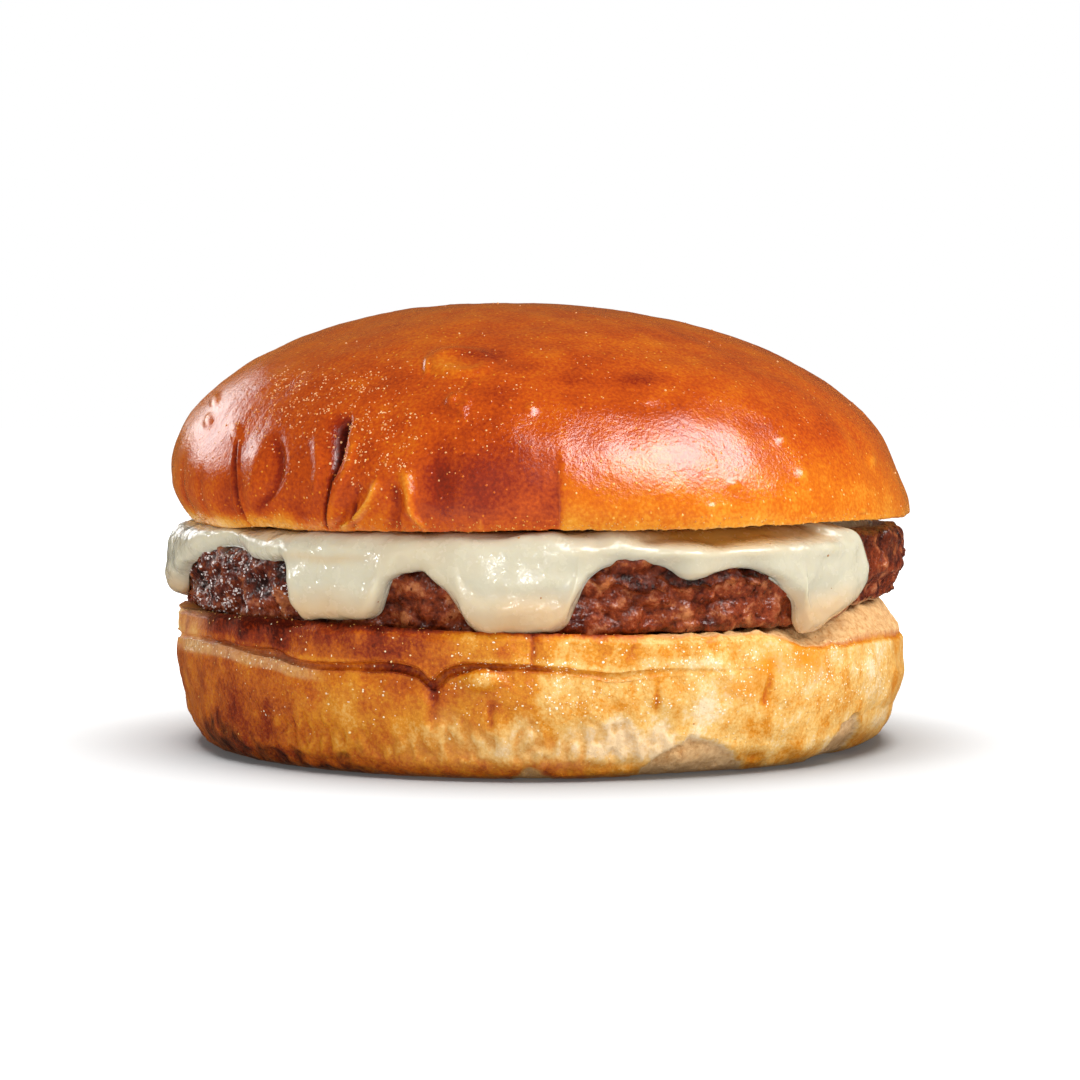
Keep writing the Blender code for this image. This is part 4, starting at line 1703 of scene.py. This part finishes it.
            x, y = on_ray(foot_radius - inset * (1.0 - np.cos(turn)), degrees)
            return x, y, foot * (1.0 - np.sin(turn))
        x, y = on_ray((foot_radius - inset) * (1.0 - along), degrees)
        return x, y, 0.0 * along

    def undercut(self, form: Form, peak: float, left: float, right: float, top: float) -> Array:
        """Where the crust's lower edge arches up over pale crumb.

        Args:
            form: the skin.
            peak, left, right: the angles of the arch's top and of its ends.
            top: how high it reaches.

        Returns:
            1 below the arch and 0 above it.
        """
        share = np.where(
            away(form.degrees, peak) < 0.0,
            away(form.degrees, peak) / away(np.array(left), peak),
            away(form.degrees, peak) / away(np.array(right), peak),
        )
        arch = top * (1.0 - np.clip(share, 0.0, 1.0) ** 1.6) + 0.25 * swells(form.points, 2.2, 46)
        near = np.abs(away(form.degrees, peak)) < 40.0
        return near * (1.0 - rising(form.points[:, 2] - arch, -0.3, 0.4)) * (share < 1.0)

    def sculpt(self, form: Form) -> None:
        """Band, strip, puckers, undercuts, torn side and burnt foot, and how brown each place is, with
        painted shade and highlights.

        Args:
            form: the plain form, which is changed.
        """
        points, degrees = form.points.copy(), form.degrees
        z = points[:, 2]
        side = form.on("lip", "side", "foot")
        crease = around(degrees, self.crease_line)
        edge = around(degrees, self.edge_heights)
        pressed, painted_shade_and_tone = self.press_creases(form)
        cylinder = np.stack([np.radians(degrees) * self.stack.radius, z / 2.0, 0.0 * z], axis=1)
        strands = swells(cylinder, 1.5, 41, 60) + 0.5 * swells(cylinder, 4.0, 51)
        ridged = rising(strands, -0.55, 0.65)
        puckered = self.puckers.on(degrees) * window(z, 2.2, 7.0 + 1.4 * swells(cylinder, 6.0, 52), 1.6)
        left_band = rising(-away(degrees, -129.0), -0.25, 0.25) * self.left_band.on(degrees)
        torn = self.torn_left.on(degrees) * rising(z, 13.0, 15.5)
        arches = self.undercut(form, -67.0, -75.5, -55.5, 5.0)
        arches = arches + self.undercut(form, -33.0, -41.0, -27.0, 6.2)
        arches = np.clip(arches + self.undercut(form, -91.5, -94.5, -88.0, 1.6), 0.0, 1.0)
        strip = self.strip.on(degrees) * window(z - crease + self.ledge_drop, 0.0, 1.8, 0.3)
        pressed += 0.3 * left_band * rising(z - crease, 0.0, 0.6) + 0.9 * arches
        pressed += 0.42 * puckered * (1.0 - ridged) + 0.3 * torn * (1.0 + 0.5 * swells(points, 5.0, 42))
        form.push_out(-pressed * side)
        form.push_out(0.2 * swells(points, 1.9, 54, 40) * hump(z - 0.4, 1.3) * form.on("foot"))
        raised = 0.25 * swells(points, 16.0, 43) + 0.12 * swells(points, 4.5, 44) - 0.3
        raised += 0.03 * swells(points, 1.3, 45, 40)
        self.lay_spots(form, raised, painted_shade_and_tone)
        form.raise_by(raised * side * rising(z, 0.4, 2.0))
        frayed = hump(z - edge, 0.7) * form.on("lip", "slope")
        form.points[:, 2] += 0.06 * swells(points, 1.4, 47, 40) * frayed
        slope = form.on("face", "slope")
        open_slope = self.open_slope.on(degrees)
        rough = 0.2 * swells(points, 2.2, 48, 40) * open_slope * rising(form.reach, 44.0, 47.0)
        heaped = 1.3 * self.heap.on(degrees) * window(form.reach, 42.0, 50.3, 1.4)
        form.points[:, 2] += slope * (rough + heaped)
        sole = form.on("base") * (1.0 - rising(form.reach, 40.0, 45.5))
        sole_tone = 0.6 + 0.08 * swells(points, 12.0, 57) + 0.06 * swells(points, 4.0, 58)
        paler = rising(away(degrees, -100.0), -22.0, 20.0)
        right = rising(away(degrees, -91.0), -0.5, 0.5) * (1.0 - rising(away(degrees, 60.0), -35.0, 30.0))
        tone = painted_shade_and_tone + self.browning(points, degrees, left_band, right)
        tone += 0.12 * hump(z - 1.6, 1.4) * (1.0 - arches) - 0.4 * arches + 0.25 * slope
        tone += 0.07 * self.browner_front.on(degrees) * side + 0.035 * strands * right * (1.0 - puckered)
        tone += 0.14 * self.browner_left.on(degrees) * (1.0 - torn) - 0.2 * torn - 0.06 * strip
        tone += self.crease_shade_and_highlight(cylinder, degrees, z - crease)
        tone -= puckered * (0.1 * ridged - 0.02 + paler * (0.15 + 0.12 * ridged))
        form.marks["browning"] = tone * (1.0 - sole) + sole_tone * sole
        crumb = slope * open_slope + 0.75 * arches + 0.3 * torn + 0.5 * strip + 0.4 * puckered * paler
        # painted shade: the open crumb near the patty is less pale, where the patty shades it
        crumb -= 0.35 * slope * open_slope * (1.0 - rising(form.reach, 43.5, 47.5))
        form.marks["crumb"] = crumb * (1.0 - sole)
        singed = 1.6 + 1.1 * swells(points, 3.0, 53) + 3.2 * hump(away(degrees, -150.0), 9.0)
        form.marks["burn"] = side * self.singed.on(degrees) * (1.0 - rising(z - singed, -1.0, 1.2))
        form.marks["rim"] = hump(z - edge, 0.5) * form.on("lip", "slope") + 0.1 * side * rising(z, 3.0, 6.0)
        shining = self.shining.on(degrees) * hump(z - 15.0 - 0.3 * swells(points, 4.0, 55), 0.7)
        sheen = self.sheen.on(degrees, z)
        clustered = np.clip(0.3 + 0.9 * swells(points, 3.0, 59), 0.0, 1.0)
        few_oil_glints = self.few_oil_glints.on(degrees) * rising(z, 4.0, 8.0)
        # painted highlights: near-white drops strewn here stand for glints on the oiled crust
        form.marks["oily"] = side * (sheen * clustered + 0.6 * shining + 0.05 * few_oil_glints + 0.3 * strip)
        stain = self.stain(degrees, z) * side
        form.marks["stain"] = 0.95 * stain
        form.marks["glaze"] = side * (0.9 * shining + 0.8 * strip + 0.5 * sheen * (1.0 - 0.7 * stain))

    def browning(self, points: Array, degrees: Array, left_band: Array, right: Array) -> Array:
        """How brown the crust is, but for its fine forms, with a painted highlight along the glossy strip.

        Args:
            points: places on the plain form.
            degrees: their angles.
            left_band: 1 where the band over the crease is the sunken one on the left.
            right: 1 on the paler right half.

        Returns:
            The value at each place, from 0, straw, to 1, mahogany.
        """
        z = points[:, 2]
        crease, edge = around(degrees, self.crease_line), around(degrees, self.edge_heights)
        height = np.clip((z - crease) / (edge - crease), 0.0, 1.0)
        browned = rising(-away(degrees, -105.0), -9.0, 9.0) * (np.abs(away(degrees, -150.0)) < 70.0)
        band = (0.12 + 0.18 * height) * browned - 0.08 * (1.0 - browned) * height
        band += 0.05 * left_band * (0.4 + height)
        band = band * rising(z - crease, 0.0, 0.6) + 0.16 * hump(z - edge, 0.35)
        tone = 0.48 + 0.07 * swells(points, 11.0, 49) + 0.05 * swells(points, 4.0, 50)
        tone += band * self.front.on(degrees) - 0.16 * self.paler_front.on(degrees, z)
        tone -= 0.08 * rising(away(degrees, -78.0), 0.0, 25.0) * right
        tone -= 0.16 * rising(away(degrees, -84.0), -8.0, 20.0) * right
        # painted highlight: paler along the glossy strip
        tone -= 0.2 * self.shining.on(degrees) * hump(z - 15.0, 0.8)
        return tone + 0.3 * self.dark_edge.on(degrees) * hump(z - edge, 0.55)

    def crease_shade_and_highlight(self, cylinder: Array, degrees: Array, over: Array) -> Array:
        """How much darker the crust is in its crease, as painted shade, and paler just above it, as a
        painted highlight on the band's lower lip.

        Args:
            cylinder: places on the side, rolled out flat.
            degrees: their angles.
            over: how high each is over the crease.

        Returns:
            The value at each place.
        """
        depth = around(degrees, self.crease_depths)
        dark = (0.24 + 0.1 * swells(cylinder, 5.0, 56)) * hump(over + 0.15, 0.55, 3.0)
        return dark * np.clip(depth, 0.0, 1.0) - 0.1 * hump(over - 0.9, 0.4) * (depth > 0.3)

    def stain(self, degrees: Array, z: Array) -> Array:
        """1 where oil has soaked into the right of the crust, at angles and heights.

        Args:
            degrees: the angle of each place.
            z: the height of each place.

        Returns:
            The value at each place.
        """
        stain = hump(away(degrees, -55.0), 2.6) * hump(z - 14.2, 1.6)
        stain += hump(away(degrees, -47.0) + 0.9 * (z - 14.0), 3.4) * hump(z - 14.6, 2.4)
        stain += 0.8 * hump(away(degrees, -59.5), 3.0) * hump(z - 11.2, 1.5)
        return np.clip(stain, 0.0, 1.0)


# ---------------------------------------------------------------------------------------------
# Strewn things


@dataclass
class Strewing:
    """One kind of small thing strewn on a food.

    Attributes:
        name: the piece's name.
        host: the food's name.
        slot: the record's slot of the food; not used.
        mark: the skin's number that says how thickly they lie.
        thickness: how many lie on a square millimetre where the mark is 1.
        sizes: the smallest and largest radius, in millimetres.
        flatness: how tall they are for their radius.
        finish: what they are.
        seed: picks their places.
        uneven: how much wider than long each may be.
    """

    name: str
    host: str
    slot: str
    mark: str
    thickness: float
    sizes: tuple[float, float]
    flatness: float
    finish: GrainFinish
    seed: int
    uneven: float = 0.3

    def tree(self) -> Tree:
        """A geometry tree that strews rounded grains on another piece.

        Returns:
            The tree, whose input Host is the other piece.
        """
        numbers = {"Thickness": self.thickness / MM**2}
        numbers |= {"Smallest": self.sizes[0] * MM, "Largest": self.sizes[1] * MM}
        tree, source = geometry_tree(self.name, numbers, host=True)
        skin = add(tree, "GeometryNodeObjectInfo", {"Object": source.outputs["Host"]}).outputs["Geometry"]
        thickly = reckon(tree, "MULTIPLY", named(tree, self.mark), source.outputs["Thickness"])
        inputs = {"Mesh": skin, "Density": thickly, "Seed": self.seed}
        strewn = add(tree, "GeometryNodeDistributePointsOnFaces", inputs)
        inputs = {"Segments": 8, "Rings": 5, "Radius": 1.0}
        grain = add(tree, "GeometryNodeMeshUVSphere", inputs).outputs["Mesh"]
        inputs = {2: source.outputs["Smallest"], 3: source.outputs["Largest"], "Seed": self.seed + 1}
        size = add(tree, "FunctionNodeRandomValue", inputs, data_type="FLOAT").outputs[1]
        inputs = {
            0: (1.0 - self.uneven, 1.0 - self.uneven, 0.8 * self.flatness),
            1: (1.0 + self.uneven, 1.0 + self.uneven, 1.2 * self.flatness),
            "Seed": self.seed + 2,
        }
        proportion = add(tree, "FunctionNodeRandomValue", inputs, data_type="FLOAT_VECTOR").outputs[0]
        inputs = {0: proportion, "Scale": size}
        scale = add(tree, "ShaderNodeVectorMath", inputs, operation="SCALE").outputs[0]
        inputs = {"Points": strewn.outputs["Points"], "Rotation": strewn.outputs["Rotation"]}
        inputs |= {"Instance": grain, "Scale": scale}
        placed = add(tree, "GeometryNodeInstanceOnPoints", inputs).outputs[0]
        end_tree(tree, placed, self.finish.material())
        return tree

    def build(self, host: Piece) -> Piece:
        """Strews the things.

        Args:
            host: the food they lie on.

        Returns:
            The piece, which holds all of them.
        """
        piece = put(self.name, bpy.data.meshes.new(self.name))
        grow(piece, self.tree(), Host=host)
        return piece

    def declare(self, piece: Piece) -> None:
        """Tells the frame what the piece rides on.

        Args:
            piece: the finished piece.
        """
        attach(piece, "root")
        LOG.info("%s: %d triangles", piece.name, triangles(piece))


STREWINGS = (
    # the paler of their tones is partly a painted highlight
    Strewing(
        "crust_pimples", "crown_crust", "glazed_crust", "pimples", 4.5, (0.05, 0.15), 0.8,
        GrainFinish("egg_wash_blisters", ("#c8681e", "#eebb84"), 0.1), 5,
    ),
    Strewing(
        "crown_rim_crumbs", "crown_crust", "glazed_crust", "rim", 1.6, (0.05, 0.14), 0.8,
        GrainFinish("toasted_crumbs", ("#c0701e", "#dba04a"), 0.55), 8,
    ),
    Strewing(
        "heel_rim_crumbs", "heel_crust", "golden_crust", "rim", 0.5, (0.05, 0.13), 0.8,
        GrainFinish("golden_crumbs", ("#c8822a", "#e6b866"), 0.5), 12,
    ),
    Strewing(
        "beef_fat_beads", "patty_meat", "seared_beef", "wet", 0.35, (0.1, 0.32), 0.5,
        GrainFinish("rendered_fat", ("#4e1c0c", "#74321a"), 0.05), 17, 0.5,
    ),
    # pale beads that are partly fat and partly painted highlights
    Strewing(
        "beef_fat_glints", "patty_meat", "seared_beef", "glints", 3.5, (0.06, 0.2), 0.55,
        GrainFinish("pale_beef_fat", ("#9c8078", "#efe6e2"), 0.4), 31, 0.6,
    ),
    # near-white drops that are painted highlights of oil on the crust
    Strewing(
        "heel_oil_drops", "heel_crust", "golden_crust", "oily", 3.0, (0.04, 0.14), 0.35,
        GrainFinish("clear_frying_oil", ("#f4d898", "#fff6e2"), 0.2), 37, 0.5,
    ),
    Strewing(
        "cheese_specks", "cheese_slice", "melted_cheese", "specks", 0.012, (0.08, 0.17), 0.5,
        GrainFinish("browned_milk_specks", ("#8a5420", "#c08a45"), 0.5), 23,
    ),
)


# ---------------------------------------------------------------------------------------------
# Set


class Softbox(Enum):
    """The lights: where each stands from the burger, its width and height in metres, and its power.

    OVERHEAD lights the floor alone and the others the food alone, so that the burger stands in one
    soft shadow of its own. FILL is so broad that no highlight of it shows. GLEAM and GLINT are small
    and put points of light on the wet cheese and meat, which the dry bread does not return.
    """

    KEY = ((0.55, -0.45, 0.70), (0.38, 0.32), 2.75)
    REAR = ((-0.7, 0.6, 0.35), (0.36, 0.15), 0.6)
    FILL = ((-0.3, -0.93, 0.12), (0.8, 0.6), 1.15)
    GLEAM = ((0.02, -0.95, 0.26), (0.07, 0.09), 0.28)
    GLINT = ((-0.95, -0.12, 0.3), (0.06, 0.08), 0.4)
    OVERHEAD = ((0.0, 0.0, 1.0), (0.48, 0.48), 10.2)

    def __init__(self, towards: tuple[float, ...], size: tuple[float, float], power: float) -> None:
        """Names the three parts of the value.

        Args:
            towards: where it stands, seen from the burger.
            size: its width and height.
            power: its power in watts.
        """
        self.towards = Vector(towards).normalized()
        self.size = size
        self.power = power


@dataclass
class Studio:
    """The set: a white floor, soft lights and the camera in front of the burger.

    Attributes:
        aim: what the camera looks at, in metres.
        distance: how far away it stands.
        elevation: how far it looks down, in degrees.
        view_width: how much it sees across at the aim.
        sensor: how wide its sensor is, in millimetres.
        light_distance: how far away the lights stand.
        floor_radius: how far the floor runs.
        lit: between what reaches the floor comes to glow, to run into the room.
        least_glow: how much of the room's white it glows with nearer than that.
        floor_grey: how much light it throws back.
        room_seen, room_light, room_gloss: how bright the room is to look at, as a light and in a gloss.
    """

    aim: Vector = field(default_factory=lambda: Vector((0.0, 0.0, 28.0 * MM)))
    distance: float = 0.42
    elevation: float = 3.0
    view_width: float = 153.2 * MM
    sensor: float = 36.0
    light_distance: float = 0.5
    floor_radius: float = 3.0
    lit: tuple[float, float] = (0.07, 0.154)
    least_glow: float = 0.06
    floor_grey: float = 0.35
    room_seen: float = 1.001
    room_light: float = 0.301
    room_gloss: float = 0.051

    def camera(self) -> None:
        """Sets up the camera."""
        data = bpy.data.cameras.new("camera")
        data.sensor_width = self.sensor
        data.lens = self.sensor * self.distance / self.view_width
        data.clip_start = 0.01
        camera = put("camera", data)
        rise = math.radians(self.elevation)
        camera.location = self.aim + self.distance * Vector((0.0, -math.cos(rise), math.sin(rise)))
        camera.rotation_euler = (0.5 * math.pi - rise, 0.0, 0.0)
        bpy.context.scene.camera = camera

    def lights(self, floor: Piece, bread: list[Piece]) -> None:
        """Hangs the softboxes, each turned to the burger.

        Args:
            floor: the floor, which only the light overhead reaches.
            bread: the dry pieces, which the two small lights do not reach.
        """
        for box in Softbox:
            data = bpy.data.lights.new(box.name.lower(), "AREA")
            data.shape = "RECTANGLE"
            data.size, data.size_y = box.size
            data.energy = box.power
            light = put(data.name, data)
            light.location = self.aim + box.towards * self.light_distance
            light.rotation_euler = box.towards.to_track_quat("Z", "Y").to_euler()
            light.visible_glossy = box is not Softbox.FILL
            reached = bpy.data.collections.new(data.name + "_reaches")
            state = "INCLUDE" if box is Softbox.OVERHEAD else "EXCLUDE"
            for piece in (floor, *(bread if box in (Softbox.GLEAM, Softbox.GLINT) else ())):
                reached.objects.link(piece)
            for linked in reached.collection_objects:
                linked.light_linking.link_state = state
            light.light_linking.receiver_collection = reached

    def air(self) -> None:
        """The room: white to look at, dim as a light and darker still where a gloss mirrors it."""
        world = bpy.data.worlds.new("room")
        bpy.context.scene.world = world
        world.use_nodes = True
        tree = world.node_tree
        path = add(tree, "ShaderNodeLightPath")
        seen, glossy = path.outputs["Is Camera Ray"], path.outputs["Is Glossy Ray"]
        brighter, darker = self.room_seen - self.room_light, self.room_gloss - self.room_light
        strength = sums(tree, (seen, 0.0, brighter), (glossy, 0.0, darker))
        strength = reckon(tree, "ADD", strength, self.room_light)
        background = tree.nodes["Background"]
        background.inputs["Color"].default_value = (1.0, 1.0, 1.0, 1.0)
        tree.links.new(strength, background.inputs["Strength"])

    def floor(self) -> Piece:
        """A matt white floor that fades into the room.

        Returns:
            The floor, which is part of the set.
        """
        disc = bmesh.new()
        bmesh.ops.create_circle(disc, cap_ends=True, segments=96, radius=self.floor_radius)
        mesh = bpy.data.meshes.new("floor")
        disc.to_mesh(mesh)
        disc.free()
        floor = put("floor", mesh)
        floor.visible_glossy = False
        material, tree, surface = started("white_sweep")
        surface.inputs["Base Color"].default_value = (*(self.floor_grey,) * 3, 1.0)
        surface.inputs["Roughness"].default_value = 1.0
        surface.inputs["Specular IOR Level"].default_value = 0.0
        surface.inputs["Emission Color"].default_value = (1.0, 1.0, 1.0, 1.0)
        place = add(tree, "ShaderNodeTexCoord").outputs["Object"]
        reach = add(tree, "ShaderNodeVectorMath", {0: place}, operation="LENGTH").outputs["Value"]
        glow = fitted(tree, reach, *self.lit, at_low=self.least_glow, curve="SMOOTHSTEP")
        tree.links.new(glow, surface.inputs["Emission Strength"])
        mesh.materials.append(material)
        return floor

    def build(self, bread: list[Piece]) -> None:
        """Sets everything up around the pieces, of which the bread is named.

        Args:
            bread: the dry pieces, which the two small lights do not reach.
        """
        self.camera()
        self.air()
        self.lights(self.floor(), bread)
        view = bpy.context.scene.view_settings
        view.view_transform = "Standard"
        view.look = "None"


def main() -> None:
    """Builds the four foods from the top down, what is strewn on them and the set."""
    logging.basicConfig(level=logging.INFO, format="%(name)s: %(message)s")
    pieces = {}
    for food in (Crown(), Cheese(), Patty(), Heel()):
        pieces[food.name] = food.build()
        food.declare(pieces[food.name])
    hosts = ("crown_crust", "heel_crust")
    bread = [pieces[name] for name in hosts]
    for strewing in STREWINGS:
        strewn = strewing.build(pieces[strewing.host])
        strewing.declare(strewn)
        if strewing.host in hosts:
            bread.append(strewn)
    Studio().build(bread)


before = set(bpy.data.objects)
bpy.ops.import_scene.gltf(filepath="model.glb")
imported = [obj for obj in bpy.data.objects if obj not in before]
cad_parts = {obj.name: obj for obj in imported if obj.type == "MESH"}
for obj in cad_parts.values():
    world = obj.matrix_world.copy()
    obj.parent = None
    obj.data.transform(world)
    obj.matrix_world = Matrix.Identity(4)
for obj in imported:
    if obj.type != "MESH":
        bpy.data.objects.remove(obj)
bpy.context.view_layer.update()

if __name__ == "__main__":
    main()
